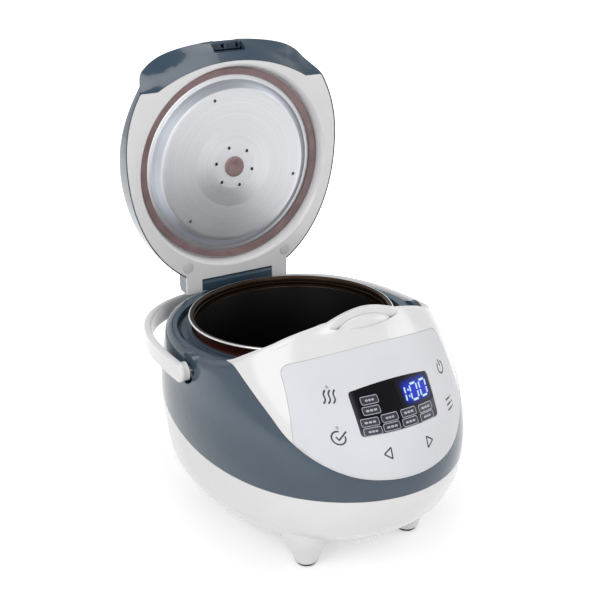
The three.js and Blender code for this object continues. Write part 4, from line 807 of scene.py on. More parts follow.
# flat marks that follow the front; each is drawn across and up, and lies a hair above the surface
def markForm(name, outlines, lift, thickness=0.06):
    forms = []
    for points in outlines:
        form = plateForm(name, points, "y", 0, 1)
        alone(form)
        bpy.ops.object.mode_set(mode="EDIT")
        shape = bmesh.from_edit_mesh(form.data)
        for axis in (0, 2):  # cut fine enough to lie close on the curved front
            spread = [vert.co[axis] for vert in shape.verts]
            low, high = min(spread), max(spread)
            count = int((high - low) / (markPitch * mm)) + 1
            for share in shares(count)[1:-1]:
                place, across = Vector((0, 0, 0)), Vector((0, 0, 0))
                place[axis], across[axis] = low + (high - low) * share, 1
                bmesh.ops.bisect_plane(
                    shape, geom=shape.verts[:] + shape.edges[:] + shape.faces[:], plane_co=place, plane_no=across)
        for vert in shape.verts:
            back = vert.co.y - axisY > 0.0005
            x, z = vert.co.x / mm, vert.co.z / mm
            vert.co.y = spot(0, frontAt(x, z) - lift + (thickness if back else 0), 0).y
        bmesh.update_edit_mesh(form.data)
        bpy.ops.object.mode_set(mode="OBJECT")
        forms.append(closeUp(form))
    return gather(name, forms)


def stroke(points, width):  # outline of a line with square ends
    left, right = [], []
    for at, (x, z) in enumerate(points):
        (ax, az), (bx, bz) = points[max(at - 1, 0)], points[min(at + 1, len(points) - 1)]
        long = math.hypot(bx - ax, bz - az)
        nx, nz = -(bz - az) / long * width / 2, (bx - ax) / long * width / 2
        left.append((x + nx, z + nz))
        right.append((x - nx, z - nz))
    return left + right[::-1]


def roundBox(x, z, width, tall, corner, lean=0.0):
    points = []
    for sx, sz, first in ((1, 1, 0), (-1, 1, 1), (-1, -1, 2), (1, -1, 3)):
        centre = (sx * (width / 2 - corner), sz * (tall / 2 - corner))
        points += arc(centre, corner, first * math.pi / 2, (first + 1) * math.pi / 2, 5)
    return [(x + u, z + v + u * lean) for u, v in points]


symbols = {
    "line": 1.0, "lift": 0.07, "barLine": 1.1, "dot": 1.05, "dots": [(-43.6, 157.2), (-45.6, 133.6)],
    "steam": (-44.2, 147.8), "steamPitch": 3, "steamLean": 3.6, "steamTall": 7.8, "steamSwing": 0.75,
    "clock": (-46.3, 127.2), "clockRadius": 4.1, "tick": [(-47.8, 128), (-46.2, 125.8)],
    "tickTail": [(-46.5, 125.7), (-40.9, 131.2)], "power": (52.2, 149.8), "powerRadius": 3.5,
    "arrows": [(-16.6, -1), (17.8, 1)], "arrowHeight": 114.7, "arrowHalf": 3.8, "bars": (131.2, 128, 124.8),
}


def panelSymbols():
    line = symbols["line"]
    marks = []
    x, z = symbols["steam"]
    for at in (-1, 0, 1):
        wave = [(x + at * symbols["steamPitch"] + symbols["steamSwing"] * math.sin(t * 2 * math.pi)
                 + symbols["steamLean"] * (t - 0.5), z + symbols["steamTall"] * t) for t in shares(18)]
        marks.append(stroke(wave, line))
    marks.append(stroke(arc(symbols["clock"], symbols["clockRadius"], math.radians(75), math.radians(375), 36), line))
    marks += [stroke(symbols["tick"], line), stroke(symbols["tickTail"], line)]
    for x, way in symbols["arrows"]:
        tip, base, height, half = x + way * 3.2, x - way * 2.2, symbols["arrowHeight"], symbols["arrowHalf"]
        corners = [(tip, height), (base, height + half), (base, height - half), (tip, height)]
        marks += [stroke([a, b], line) for a, b in zip(corners, corners[1:])]
    x, z = symbols["power"]
    marks.append(stroke(arc((x, z), symbols["powerRadius"], math.radians(125), math.radians(415), 32), line))
    marks.append(stroke([(x, z + 0.6), (x, z + 4.6)], line))
    for height in symbols["bars"]:
        marks.append(stroke([(45.6, height), (51.4, height)], symbols["barLine"]))
        marks.append(stroke([(52.4, height), (53.5, height)], symbols["barLine"]))
    form = markForm("panel_symbols", marks, symbols["lift"])
    settle(form, "body", "black_plastic", "symbolInk")
    dots = [arc(place, symbols["dot"], 0, 2 * math.pi, 20)[:-1] for place in symbols["dots"]]
    settle(markForm("panel_indicators", dots, symbols["lift"] + 0.02), "body", "grey_plastic", "indicatorGrey")


digits = {"left": 8.2, "low": 141.4, "width": 7.4, "tall": 9, "line": 1.2, "slant": 0.14, "gap": 1.6, "lift": -0.14,
          "thickness": 0.05}
glow = {"x": 19.5, "z": 146.4, "halfWidth": 8, "halfTall": 2.4, "soft": 6, "plate": (18.5, 146.4, 30, 18, 2),
        "lift": -0.22}
finishes["digitGlow"] = glowFinish("digitGlow", *[glow[key] for key in ("x", "z", "halfWidth", "halfTall", "soft")])


def displayMarks():
    marks = []
    wide, tall, slant = digits["width"], digits["tall"], digits["slant"]

    def bar(x0, z0, x1, z1):
        ends = [(x0 + slant * (z0 - digits["low"]), z0), (x1 + slant * (z1 - digits["low"]), z1)]
        marks.append(stroke(ends, digits["line"]))

    low, high = digits["low"], digits["low"] + tall
    middle = (low + high) / 2
    gap = digits["line"] * 0.62
    one = digits["left"] + 0.8
    bar(one, low + gap, one, middle - gap * 0.6)
    bar(one, middle + gap * 0.6, one, high - gap)
    for z in (low + tall * 0.3, low + tall * 0.7):
        marks.append(roundBox(one + 2.9 + slant * (z - low), z, 1.2, 1.2, 0.3))
    for at in (0, 1):
        left = digits["left"] + 5.6 + at * (wide + digits["gap"])
        right = left + wide - digits["line"]
        for x in (left, right):
            bar(x, low + gap, x, middle - gap * 0.6)
            bar(x, middle + gap * 0.6, x, high - gap)
        for z in (low, high):
            bar(left + gap, z, right - gap, z)
    thickness = digits["thickness"]
    settle(markForm("display_digits", marks, digits["lift"], thickness), "body", "display_parts", "litDigits")
    plate = markForm("display_glow", [roundBox(*glow["plate"])], glow["lift"], thickness)
    settle(plate, "body", "display_parts", "digitGlow")


menu = {
    "places": [(-19, 147.6), (-20, 141.8), (-23.6, 135.2), (-8.8, 136), (6.9, 136), (22.4, 135), (-23.4, 129.7),
               (-9.2, 130.6), (5.9, 130.6), (21.6, 129.8)],
    "width": 13, "tall": 4.9, "corner": 1.3, "line": 0.42, "lean": -0.0016, "dash": 1.25,
    "dashes": [(-1, -0.42), (-0.28, 0.3), (0.44, 1)], "lifts": (-0.2, -0.15, -0.1),
}


def menuMarks():
    frames, fills, bars = [], [], []
    for at, (x, z) in enumerate(menu["places"]):
        lean = menu["lean"] * x
        width, tall, line = menu["width"], menu["tall"], menu["line"]
        frames.append(roundBox(x, z, width, tall, menu["corner"], lean))
        fills.append(roundBox(x, z, width - 2 * line, tall - 2 * line, menu["corner"] - line, lean))
        half = width * (0.31 if at % 3 else 0.25)
        for low, high in menu["dashes"]:
            middle = half * (low + high) / 2
            bars.append(roundBox(x + middle, z + middle * lean, half * (high - low), menu["dash"], 0.4, lean))
    layers = (("menu_frames", frames, "menuFrame"), ("menu_fills", fills, "menuFill"),
              ("menu_bars", bars, "menuFrame"))
    for (name, outlines, finish), lift in zip(layers, menu["lifts"]):
        settle(markForm(name, outlines, lift, digits["thickness"]), "body", "display_parts", finish)


def releaseButton():
    alone(None)
    bpy.ops.mesh.primitive_uv_sphere_add(
        segments=96, ring_count=48, radius=mm, location=spot(0, button["crownY"], button["crown"]),
        scale=(button["crownSide"], button["crownDepth"], button["crownRise"]))
    bpy.ops.object.transform_apply(location=True, rotation=True, scale=True)
    crown = newest("crown")
    shelf = boxForm("shelf", (-60, -160, button["floor"] + 12), (60, -50, button["crown"] + button["shelf"]))
    crown = cutBy(crown, shelf, "UNION")
    cap = plateForm("release_button_smooth", lensOutline(button["gap"]), "z", button["bottom"],
                    button["crown"] + button["crownRise"] + 1)
    form = cutBy(cap, crown, "INTERSECT")
    form = softEdges(form, 0.35, 2, 50)
    return settle(form, "button", "white_housing", "whiteGloss", "release_button", smooth=35)


frontPanel()
controlFascia()
displayWindow()
panelSymbols()
displayMarks()
menuMarks()
releaseButton()
print("front ready")


# ---- rim tray and cooking pot ----

tray = {"deck": 91.2, "groove": 6.5, "band": 88.6, "bandDrop": 3.5, "wall": 1.2, "ring": 82.6, "ringDrop": 2,
        "opening": 79.9, "underside": 9.4}
pot = {"rim": 82, "above": 7.6, "thickness": 1.8, "outside": 78.5, "wall": 1.6, "depth": 92.6, "corner": 16}


def rimTray():
    def deck(height):
        return lambda turn: (*outline(turn, wellReach(-housing["fit"])), height)

    well = tray["deck"] + tray["wall"]
    soft = 0.5
    rings = [deck(rim - tray["wall"]), deck(rim)]
    rings += [circle(tray["deck"] + soft * (1 - math.sin(step)), rim - soft * (1 - math.cos(step)))
              for step in quarter]
    rings += [circle(radius, rim - drop) for radius, drop in (
        (tray["deck"], tray["groove"]), (tray["band"], tray["groove"]), (tray["band"], tray["bandDrop"] + 0.3),
        (tray["band"] - 0.3, tray["bandDrop"]), (tray["ring"] + 0.3, tray["bandDrop"] + 0.9),
        (tray["ring"], tray["bandDrop"] + 0.6), (tray["ring"], tray["ringDrop"] + 0.2),
        (tray["ring"] - 0.2, tray["ringDrop"]), (tray["opening"], tray["ringDrop"]),
        (tray["opening"], tray["underside"]), (well, tray["underside"]), (well, tray["wall"]))]
    form = ringForm("rim_tray_smooth", rings + rings[:1], housing["sides"])
    for side in (-1, 1):
        form = cutBy(form, knuckleRoom(side))
    return settle(form, "body", "slate_housing", "slateSatin", "rim_tray", smooth=35)


potTop = rim + pot["above"]
potFloor = potTop - pot["depth"]


def potFinish(name):  # black inside, bronze at the steps under the rim, bright rolled edge, dark red outside
    finish = Finish(name, specular=0.12)
    place = finish.place()
    x, y, z = finish.parts(place)
    radius = radiusAbout(finish, place, (0, axisY, 0))
    drop = potTop * mm - z
    inside = 1 - radius.ramp(0.0779, 0.0781)
    steps = 1 - drop.ramp(0.0088, 0.0096)
    lip = 1 - drop.ramp(0.0019, 0.0021)
    rolled = radius.ramp(0.0808, 0.0811) * lip
    flecks = finish.noise(place, 1500, 2).ramp(0.62, 0.72)
    streaks = finish.noise(finish.add("ShaderNodeCombineXYZ", inputs={0: drop}), 2600, 2)
    coating = finish.mix(flecks * 0.5, (0.003, 0.0028, 0.0028), (0.012, 0.011, 0.01))
    bronze = finish.mix(streaks.ramp(0.45, 0.7), (0.012, 0.007, 0.005), (0.13, 0.08, 0.05))
    outside = finish.mix(streaks, (0.075, 0.017, 0.011), (0.115, 0.028, 0.018))
    colour = finish.mix(inside, outside, coating)
    colour = finish.mix(steps * radius.ramp(0.0765, 0.0768) * (1 - radius.ramp(0.0783, 0.0785)), colour, bronze)
    colour = finish.mix(lip * radius.ramp(0.0772, 0.0775), colour, bronze)
    finish.set(baseColor=finish.mix(rolled, colour, (0.86, 0.85, 0.84)))
    shiny = (steps * radius.ramp(0.0765, 0.0768)).maths("MAXIMUM", steps * radius.ramp(0.0765, 0.0768), rolled)
    finish.set(metallic=shiny * 0.85, roughness=0.48 - 0.2 * shiny + 0.08 * (streaks - 0.5))
    finish.bump(finish.noise(place, 1100, 2), 0.00002, 0.5)
    return finish.material


finishes["potCoating"] = potFinish("potCoating")


def cookingPot():
    out, inside, corner = pot["outside"], pot["outside"] - pot["wall"], pot["corner"]
    centre = (out - corner, potFloor + corner)
    steps = [math.pi / 2 * share for share in shares(10)]

    def foot(radius):
        return [(centre[0] + radius * math.sin(step), centre[1] - radius * math.cos(step)) for step in steps]

    lip = pot["thickness"] / 2
    roll = [(pot["rim"] - lip + lip * math.cos(step), potTop - lip + lip * math.sin(step))
            for step in [math.pi * (share - 0.5) for share in shares(8)]]
    profile = [(0, potFloor)] + foot(corner) + [(out, potTop - 2 * lip - 0.6), (out + 0.6, potTop - 2 * lip)]
    profile += roll + [(80.2, potTop), (79.8, potTop - 0.35), (78.8, potTop - 0.35), (78.3, potTop - 0.7)]
    profile += [(77.9, potTop - 1.4), (77.9, potTop - 4.4), (77.45, potTop - 4.9), (77.45, potTop - 8.8)]
    profile += [(inside, potTop - 9.8)] + foot(corner - pot["wall"])[::-1] + [(0, potFloor + pot["wall"])]
    form = turnedForm("inner_pot_smooth", profile, 192)
    return settle(form, "pot", "pot_coating", "potCoating", "inner_pot", smooth=40)


rimTray()
cookingPot()
print("pot ready")


# ---- lid, made shut and then opened ----

def openUp(form):
    centre = Matrix.Translation(spot(0, hinge["y"], hinge["height"]))
    form.matrix_world = centre @ Matrix.Rotation(-math.radians(hinge["open"]), 4, "X") @ centre.inverted()
    alone(form)
    bpy.ops.object.transform_apply(location=True, rotation=True, scale=True)
    return form


def chinHeight(y, rise=lid["chinRise"]):
    share = min(max((-y - lid["chinStart"]) / (lid["chinEnd"] - lid["chinStart"]), 0), 1)
    return lidPlane + rise * share * share * (3 - 2 * share)


def panelEdge(turn, inset):
    x, y = outline(turn, lidReach(lid["edge"] + inset))
    share = shareToArc(x, y, lid["panelArc"] - inset, lid["panelFront"] - inset)
    share = min(max(share, (lid["panelSide"] - inset) / max(housing["widestY"] - y, 1)), 1)
    return x * share, housing["widestY"] + (y - housing["widestY"]) * share


def chinCrease(turn):
    edgeX, edgeY = outline(turn, lidReach())
    panelX, panelY = panelEdge(turn, 0)
    span = math.hypot(edgeX, edgeY) - math.hypot(panelX, panelY)
    share = min(max((lid["creaseRadius"] - math.hypot(panelX, panelY)) / max(span, 0.1), 0.4), 0.75)
    y = panelY + (edgeY - panelY) * share
    return panelX + (edgeX - panelX) * share, y, chinHeight(y, lid["creaseRise"])


skirtTop = lidPlane + lid["skirt"]


def domePoint(turn, share, inset):
    lean = share * math.pi / 2
    x, y = outline(turn, lidReach(inset))
    nose = min(max((10 - y) / 80, 0), 1)
    nose *= nose * (3 - 2 * nose)  # the dome is lower and leaner towards the front
    power = 2 / (lid["domePower"] - lid["nosePower"] * nose)
    spread, rise = math.cos(lean)**power, math.sin(lean)**power
    start = max(skirtTop - lid["noseDrop"] * nose, chinHeight(y) + 0.5 + inset)
    return x * spread, y * spread, start + (skirtTop + lid["dome"] - inset - start) * rise


def domeHeight(y):
    spread = min(y / outline(math.pi, lidReach())[1], 1)
    return skirtTop + lid["dome"] * math.sin(math.acos(spread**(lid["domePower"] / 2)))**(2 / lid["domePower"])


vent = {"y": 40, "radius": 15.5, "rise": 6, "wall": 1.6, "depth": 4, "hole": 1.2, "holeCircle": 9}
ventFloor = domeHeight(vent["y"] + vent["radius"]) - vent["depth"]


def domeFill(inset):  # all that lies under the dome
    rings = [lambda turn: (0, 0, skirtTop + lid["dome"] - inset)]
    rings += [lambda turn, s=share: domePoint(turn, s, inset) for share in shares(26)[-2::-1]]
    rings += [lambda turn: (*outline(turn, lidReach(inset)), lidPlane), lambda turn: (0, 0, lidPlane)]
    return ringForm("domeFill", rings, 160)


def legCover(name, side, grow):
    back, ahead = hinge["y"] + hinge["knuckleBack"] + grow, hinge["y"] - hinge["legRoot"] - grow
    span = sorted((side * (hinge["legInside"] - grow), side * (hinge["legOutside"] + grow)))
    return boxForm(name, (span[0], ahead, lidPlane - grow), (span[1], back, panelTop + grow))


def shellLeg(side):
    y, z, radius = hinge["y"], hinge["height"], hinge["knuckle"]
    corner = math.acos(hinge["knuckleBack"] / radius)
    points = [(y - hinge["legRoot"], panelTop + 0.3), (y - hinge["legRoot"], z + radius)]
    points += arc((y, z), radius, math.pi / 2, corner, 16)
    points += [(y + hinge["knuckleBack"], panelTop + 0.3)]
    span = sorted((side * hinge["legInside"], side * hinge["legOutside"]))
    return plateForm("leg", points, "x", *span)


def bridgeNotch():
    ahead = hinge["y"] - hinge["bridge"] - hinge["sweep"]
    half, height = hinge["legInside"], hinge["height"]
    return boxForm("notch", (-half, ahead, height - 50), (half, ahead + 60, height + 50))


def lidShell():
    rows = shares(26)[:-1]
    top = skirtTop + lid["dome"]

    def shellEdge(turn):
        x, y = outline(turn, lidReach())
        return x, y, chinHeight(y)

    def innerEdge(turn):
        x, y = outline(turn, lidReach(lid["wall"]))
        return x, y, max(chinHeight(y) + lid["wall"], panelTop + 0.5)

    def towards(first, last, share):
        return lambda turn: tuple(a + (b - a) * share for a, b in zip(first(turn), last(turn)))

    seat = lambda turn: (*panelEdge(turn, 0), lidPlane)
    rings = [lambda turn: (0, 0, top)] + [lambda turn, s=share: domePoint(turn, s, 0) for share in rows[::-1]]
    rings += [towards(shellEdge, chinCrease, share) for share in (0, 0.35, 0.7)]
    rings += [towards(chinCrease, seat, share) for share in (0, 0.3, 0.65, 1)]
    rings += [lambda turn: (*panelEdge(turn, 0), panelTop + 0.4), innerEdge]
    rings += [lambda turn, s=share: domePoint(turn, s, lid["wall"]) for share in rows[::2]]
    rings += [lambda turn: (0, 0, top - lid["wall"])]
    form = ringForm("lid_outer_shell_smooth", rings, lid["sides"])
    form = cutBy(form, bridgeNotch())
    for side in (-1, 1):
        form = cutBy(form, shellLeg(side), "UNION")
    skin = rodForm("ventSkin", vent["radius"] + 2.4, domeHeight(vent["y"]) - ventFloor + 2, "z", 0, vent["y"],
                   (ventFloor + domeHeight(vent["y"])) / 2 - 1, 96)
    skin = cutBy(skin, domeFill(0.2), "INTERSECT")
    form = cutBy(form, skin, "UNION")
    form = cutBy(form, rodForm("ventWell", vent["radius"] + 0.6, 40, "z", 0, vent["y"], ventFloor + 20, 96))
    room = catch["half"] + 0.2
    form = cutBy(form, boxForm("mouth", (-room, -catch["front"] - 0.2, 100),
                               (room, -catch["back"] + 0.3, catch["top"] + 0.2)))
    gap = catch["lipHalf"] + 0.3  # lets the hook in past the edge
    form = cutBy(form, boxForm("notch", (-gap, -lid["front"] - 11, 100), (gap, -catch["front"] + 0.1, 181.2)))
    for side in (-1, 1):
        form = cutBy(form, legCover("room", side, 0.3))
    openUp(form)
    return settle(form, "lid", "slate_housing", "slateGloss", "lid_outer_shell", smooth=30)


recess = {"mouth": 86.6, "radius": 82.9, "fall": 8.6, "ceiling": 9.7, "flat": 67, "groove": 68.5,
          "grooveCeiling": 12, "wall": 2, "studHole": 5.6, "port": 4}
bumper = {"radius": 4.6, "across": 46.5, "back": 81.5, "proud": 0.5, "depth": 1.6}


def lidPanel():
    ceiling, groove = lidPlane + recess["ceiling"], lidPlane + recess["grooveCeiling"]
    fillet, wall = recess["mouth"] - recess["radius"], recess["wall"]

    def edge(inset, height):
        return lambda turn: (*panelEdge(turn, inset), height)

    def held(turn):
        x, y = panelEdge(turn, 0.3)
        scale = min((recess["mouth"] + 1) / math.hypot(x, y), 1)
        return x * scale, y * scale, panelTop

    mouth = [circle(recess["mouth"] - fillet * math.sin(step), lidPlane + recess["fall"] * (1 - math.cos(step)))
             for step in [math.pi / 2 * share for share in shares(12)]]
    shoulder = recess["radius"] + wall
    rings = [lambda turn: (0, 0, ceiling), circle(recess["flat"], ceiling), circle(recess["groove"], groove)]
    rings += [circle(recess["radius"], groove)] + mouth[::-1]
    rings += [edge(0.3 + 0.5 * (1 - math.sin(step)), lidPlane + 0.5 * (1 - math.cos(step))) for step in quarter]
    rings += [edge(0.3, panelTop), held, circle(shoulder, panelTop + fillet), circle(shoulder, groove + wall)]
    rings += [circle(recess["groove"] - wall, groove + wall), circle(recess["flat"] - wall, ceiling + wall),
              lambda turn: (0, 0, ceiling + wall)]
    form = ringForm("lid_inner_panel_smooth", rings, lid["sides"])
    form = cutBy(form, bridgeNotch())
    for side in (-1, 1):
        form = cutBy(form, legCover("cover", side, 0), "UNION")
        form = cutBy(form, rodForm("hole", bumper["radius"] + 0.15, 2 * bumper["depth"], "z",
                                   side * bumper["across"], bumper["back"], lidPlane))
    form = cutBy(form, rodForm("studHole", recess["studHole"], 40, "z", 0, 0, ceiling))
    form = cutBy(form, rodForm("port", recess["port"], 40, "z", 0, vent["y"], ceiling))
    openUp(form)
    return settle(form, "lid", "white_housing", "whiteGloss", "lid_inner_panel", smooth=35)


def lidBumpers():
    for side, name in ((-1, "left"), (1, "right")):
        low = lidPlane - bumper["proud"]
        tall = bumper["depth"] + bumper["proud"] - 0.3
        form = rodForm("lid_bumper_smooth_" + name, bumper["radius"], tall, "z",
                       side * bumper["across"], bumper["back"], low + tall / 2, 64)
        form = softEdges(form, 0.35)
        openUp(form)
        settle(form, "lid", "grey_plastic", "paleGrey", "lid_bumper_" + name)


catch = {"half": 13.7, "low": 174.6, "thick": 2.4, "front": 100.4, "lip": 102, "lipHalf": 10.1, "top": 181.8,
         "roof": 0.8, "back": 95.3, "rim": 0.7, "rib": 0.9}


def latchCatch():
    ahead, back = -catch["front"], -catch["back"]
    half, low, high, rim = catch["half"], catch["low"], catch["top"], catch["rim"]
    plate, roof = low + catch["thick"], high - catch["roof"]
    form = boxForm("latch_catch_smooth", (-half, ahead, low), (half, back, high))
    form = cutBy(form, boxForm("inside", (-half + 1.5, ahead - 1, plate), (half - 1.5, back - rim, roof)))
    for side in (-1, 1):
        span = sorted((side * catch["rib"], side * (half - 1.5)))
        form = cutBy(form, boxForm("opening", (span[0], ahead + rim, low - 1), (span[1], back - rim, roof)))
    lipHalf = catch["lipHalf"]
    form = cutBy(form, boxForm("lip", (-lipHalf, -catch["lip"], low), (lipHalf, ahead + 0.1, plate)), "UNION")
    form = softEdges(form, 0.2, 2)
    form = cutBy(form, domeFill(0.3), "INTERSECT")
    openUp(form)
    return settle(form, "lid", "slate_housing", "slateSatin", "latch_catch", smooth=40)


disc = {"radius": 77.6, "ring": 75.4, "ringRise": 10.2, "plateau": 65.3, "rise": 4.5, "slope": 72, "thick": 0.9,
        "middle": 34, "centre": 19.5, "crown": 1.3, "bore": 5.9, "vents": 6, "vent": 1.45, "ventCircle": 17, "drips": 3,
        "drip": 1.4, "dripCircle": 59, "firstHole": -15.5}
plateau, ringHeight = lidPlane + disc["rise"], lidPlane + disc["ringRise"]
discMiddle = spot(0, hinge["y"], hinge["height"]) + Matrix.Rotation(-math.radians(hinge["open"]), 3, "X") @ Vector(
    (0, -hinge["y"] * mm, (plateau - hinge["height"]) * mm))
finishes["brushedDisc"] = brushedDisc("brushedDisc", discMiddle, "xz")


def innerLid():
    low, thick = plateau, disc["thick"]
    crown, centre, middle = low - disc["crown"], disc["centre"], disc["middle"]
    cone = [(centre - 1.2, crown), (centre, crown + 0.06), (centre + 1.2, crown + 0.2)]
    cone += [(middle - 1.2, low - 0.2), (middle, low - 0.06), (middle + 1.2, low)]
    bore = disc["bore"]
    profile = [(bore, crown), (14.6, crown)] + cone + [(56.6, low), (61.4, low)]
    profile += [(disc["plateau"] - 0.3, low), (disc["plateau"], low + 0.12)]
    profile += [(disc["slope"] - 0.5, ringHeight - 0.35), (disc["slope"], ringHeight - 0.08)]
    profile += [(disc["slope"] + 0.6, ringHeight)]
    profile += [(disc["ring"], ringHeight), (disc["ring"] + 0.3, ringHeight + 0.2), (disc["radius"], ringHeight + 0.2)]
    profile += [(disc["radius"], ringHeight + thick), (disc["slope"] - thick, ringHeight + thick)]
    profile += [(disc["plateau"] - thick, low + thick), (middle, low + thick), (centre, crown + thick)]
    profile += [(bore, crown + thick), (bore, crown)]
    form = turnedForm("inner_lid_disc_smooth", profile, 192)
    for count, radius, run, first in ((disc["vents"], disc["vent"], disc["ventCircle"], disc["firstHole"]),
                                      (disc["drips"], disc["drip"], disc["dripCircle"], disc["firstHole"])):
        for at in range(count):
            turn = 2 * math.pi * (at + 1) / count + math.radians(first)
            form = cutBy(form, rodForm("hole", radius, 20, "z", run * math.sin(turn), -run * math.cos(turn), low, 24))
    openUp(form)
    settle(form, "inner_lid", "aluminium", "brushedDisc", "inner_lid_disc", smooth=35)


gasket = {"outer": 81.6, "lipDrop": 1.7, "thick": 1.2, "inner": 75.9, "ceiling": 11.7}
grommet = {"radius": 8.8, "drop": 1.6, "bore": 3.4, "neck": 5.7}


def sealRing():
    lipHeight = ringHeight - gasket["lipDrop"]
    low, high = ringHeight - 0.3, ringHeight + disc["thick"] + 0.3
    groove, thick, inner = disc["radius"] + 0.3, gasket["thick"], gasket["inner"]
    bead = [(inner + 0.6 - 0.6 * math.sin(step), low - thick + 0.6 * (1 - math.cos(step))) for step in quarter]
    lip = [(gasket["outer"] - 0.6 + 0.6 * math.sin(step), lipHeight + 0.6 * (1 - math.cos(step))) for step in quarter]
    profile = bead[::-1] + [(groove + 1, low - thick)] + lip
    profile += [(gasket["outer"] - 0.6, lipHeight + thick), (groove + thick, high - 0.4)]
    profile += [(groove + thick, lidPlane + gasket["ceiling"]), (inner, lidPlane + gasket["ceiling"]), (inner, high)]
    profile += [(groove, high), (groove, low), (inner, low)]
    form = turnedForm("lid_gasket_smooth", profile + bead[-1:], 192)
    openUp(form)
    settle(form, "inner_lid", "silicone", "silicone", "lid_gasket", smooth=50)


def centreGrommet():
    low = plateau - disc["crown"] - grommet["drop"]
    sheet = plateau - disc["crown"] - 0.3
    radius, neck = grommet["radius"], grommet["neck"]
    profile = [(0, low + 0.9), (3.4, low + 0.8), (4.6, low + 0.1)]
    profile += [(radius - 1.4 + 1.4 * math.sin(step), low + 1.4 * (1 - math.cos(step))) for step in quarter]
    profile += [(radius, sheet), (neck, sheet), (neck, sheet + 1.5), (neck + 2, sheet + 1.5)]
    profile += [(neck + 1.4, sheet + 3.5), (grommet["bore"], sheet + 3.5), (grommet["bore"], low + 1.6)]
    profile += [(0, low + 1.6)]
    form = turnedForm("inner_lid_grommet_smooth", profile, 96)
    openUp(form)
    settle(form, "inner_lid", "silicone", "silicone", "inner_lid_grommet", smooth=40)


def ventCap():
    low = ventFloor + 0.3
    top, radius, wall = low + vent["depth"] + vent["rise"], vent["radius"], vent["wall"]
    profile = [(0, top), (radius * 0.55, top - 0.5), (radius * 0.8, top - 1.2), (radius * 0.92, top - 2.1),
               (radius * 0.985, top - 3), (radius, top - 3.8), (radius, low), (radius - wall, low)]
    profile += [(radius - wall, top - 4.4), (radius * 0.5, top - 2.4), (0, top - 2)]
    form = turnedForm("steam_vent_cap_smooth", profile, 96)
    for at in range(6):
        turn = math.pi / 3 * at
        form = cutBy(form, rodForm("hole", vent["hole"], 20, "z", vent["holeCircle"] * math.cos(turn),
                                   vent["holeCircle"] * math.sin(turn), top, 20))
    form = moved(form, 0, vent["y"])
    openUp(form)
    settle(form, "vent_cap", "slate_housing", "slateSatin", "steam_vent_cap", smooth=40)


lidShell()
lidPanel()
lidBumpers()
latchCatch()
innerLid()
sealRing()
centreGrommet()
ventCap()
print("lid ready")


# ---- hinge bridge and carrying handle ----

def hingeBridge():
    y, z, radius = hinge["y"], hinge["height"], hinge["bridge"]
    back, low = y + hinge["bridgeDepth"], rim + 0.3
    points = [(y - radius, low), (back - 4, low)] + bend((back - 4, low), (back, low + 1), (back, z), 8)[1:]
    points += bend((back, z), (back, z + radius), (back - 3, z + radius), 8)[1:]
    points += arc((y, z), radius, math.pi / 2, math.pi, 12)
    half = hinge["legInside"] - hinge["sideGap"]
    form = plateForm("hinge_bridge_smooth", points, "x", -half, half)
    form = cutBy(form, rodForm("bore", hinge["pin"] + 0.15, 100, "x", 0, y, z))
    form = softEdges(form, 0.4, 3, 50)
    return settle(form, "body", "slate_housing", "slateGloss", "hinge_bridge")


def bailPoints(half, length, count=72):
    points = []
    for share in shares(count):
        turn = math.pi * (1 - share)
        power = 2 / handle["power"]
        across = math.cos(turn)
        points.append((half * math.copysign(abs(across)**power, across), length * abs(math.sin(turn))**power))
    return points


def carryHandle():
    half, length, thick, band = handle["halfWidth"], handle["length"], handle["thickness"], handle["band"]
    end = band / 2
    outer = bailPoints(half + thick, length + thick)
    inner = bailPoints(half, length)[::-1]
    plan = [(-half - thick, -end)] + outer + [(half + thick, -end), (half, -end)] + inner + [(-half, -end)]
    form = plateForm("carry_handle_smooth", plan, "z", -band / 2, band / 2)
    side = arc((0, 0), band / 2, math.pi / 2, 3 * math.pi / 2, 32)
    side += [(length * 1.2, -band), (length * 1.2, band)]
    form = cutBy(form, plateForm("trim", side, "x", -2 * half, 2 * half), "INTERSECT")
    form = softEdges(form, handle["edge"], 4, 50)
    for way in (-1, 1):
        middle = way * (half - handle["discInset"] / 2 + 1)
        boss = rodForm("boss", handle["disc"], handle["discInset"] + 2, "x", middle, 0, 0, 64)
        form = cutBy(form, boss, "UNION")
        form = cutBy(form, rodForm("bore", 2.9, 8, "x", way * (half - handle["discInset"]), 0, 0, 32))
    shift = Matrix.Translation((0, handle["pivotY"] * mm, handle["height"] * mm))
    middle = Matrix.Translation((0, axisY, 0))
    form.matrix_world = shift @ middle @ Matrix.Rotation(math.radians(handle["tilt"]), 4, "X") @ middle.inverted()
    alone(form)
    bpy.ops.object.transform_apply(location=True, rotation=True, scale=True)
    return settle(form, "handle", "white_housing", "whiteGloss", "carry_handle", smooth=40)


def footPads():
    for (x, y), name in zip(legPlaces, ("front_left", "front_right", "back_left", "back_right")):
        form = moved(turnedForm("foot_pad_smooth_" + name, legs["pad"], 48), x, y)
        settle(form, "body", "foot_rubber", "footRubber", "foot_pad_" + name)


hingeBridge()
carryHandle()
footPads()
print("handle ready")


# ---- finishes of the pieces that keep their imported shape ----

kept = {
    "bottom_cover": "paleGrey", "display_module": "blackPlastic", "control_board": "circuitBoard",
    "inner_liner": "aluminium", "heating_plate": "aluminium", "thermostat_cup": "steel", "thermostat_bracket": "steel",
    "thermostat_spring": "steel", "power_board": "circuitBoard", "power_inlet": "blackPlastic", "hinge_pin": "steel",
    "lid_spring": "steel", "latch_hook": "paleGrey", "latch_bracket": "steel", "latch_pin": "steel",
    "handle_pin_left": "steel", "handle_pin_right": "steel", "inner_lid_stud": "whiteGloss", "vent_seat": "silicone",
}
for name, finish in kept.items():
    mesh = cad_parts[name].data
    mesh.materials.clear()
    mesh.materials.append(finishes[finish])


# ---- floor, light and camera ----

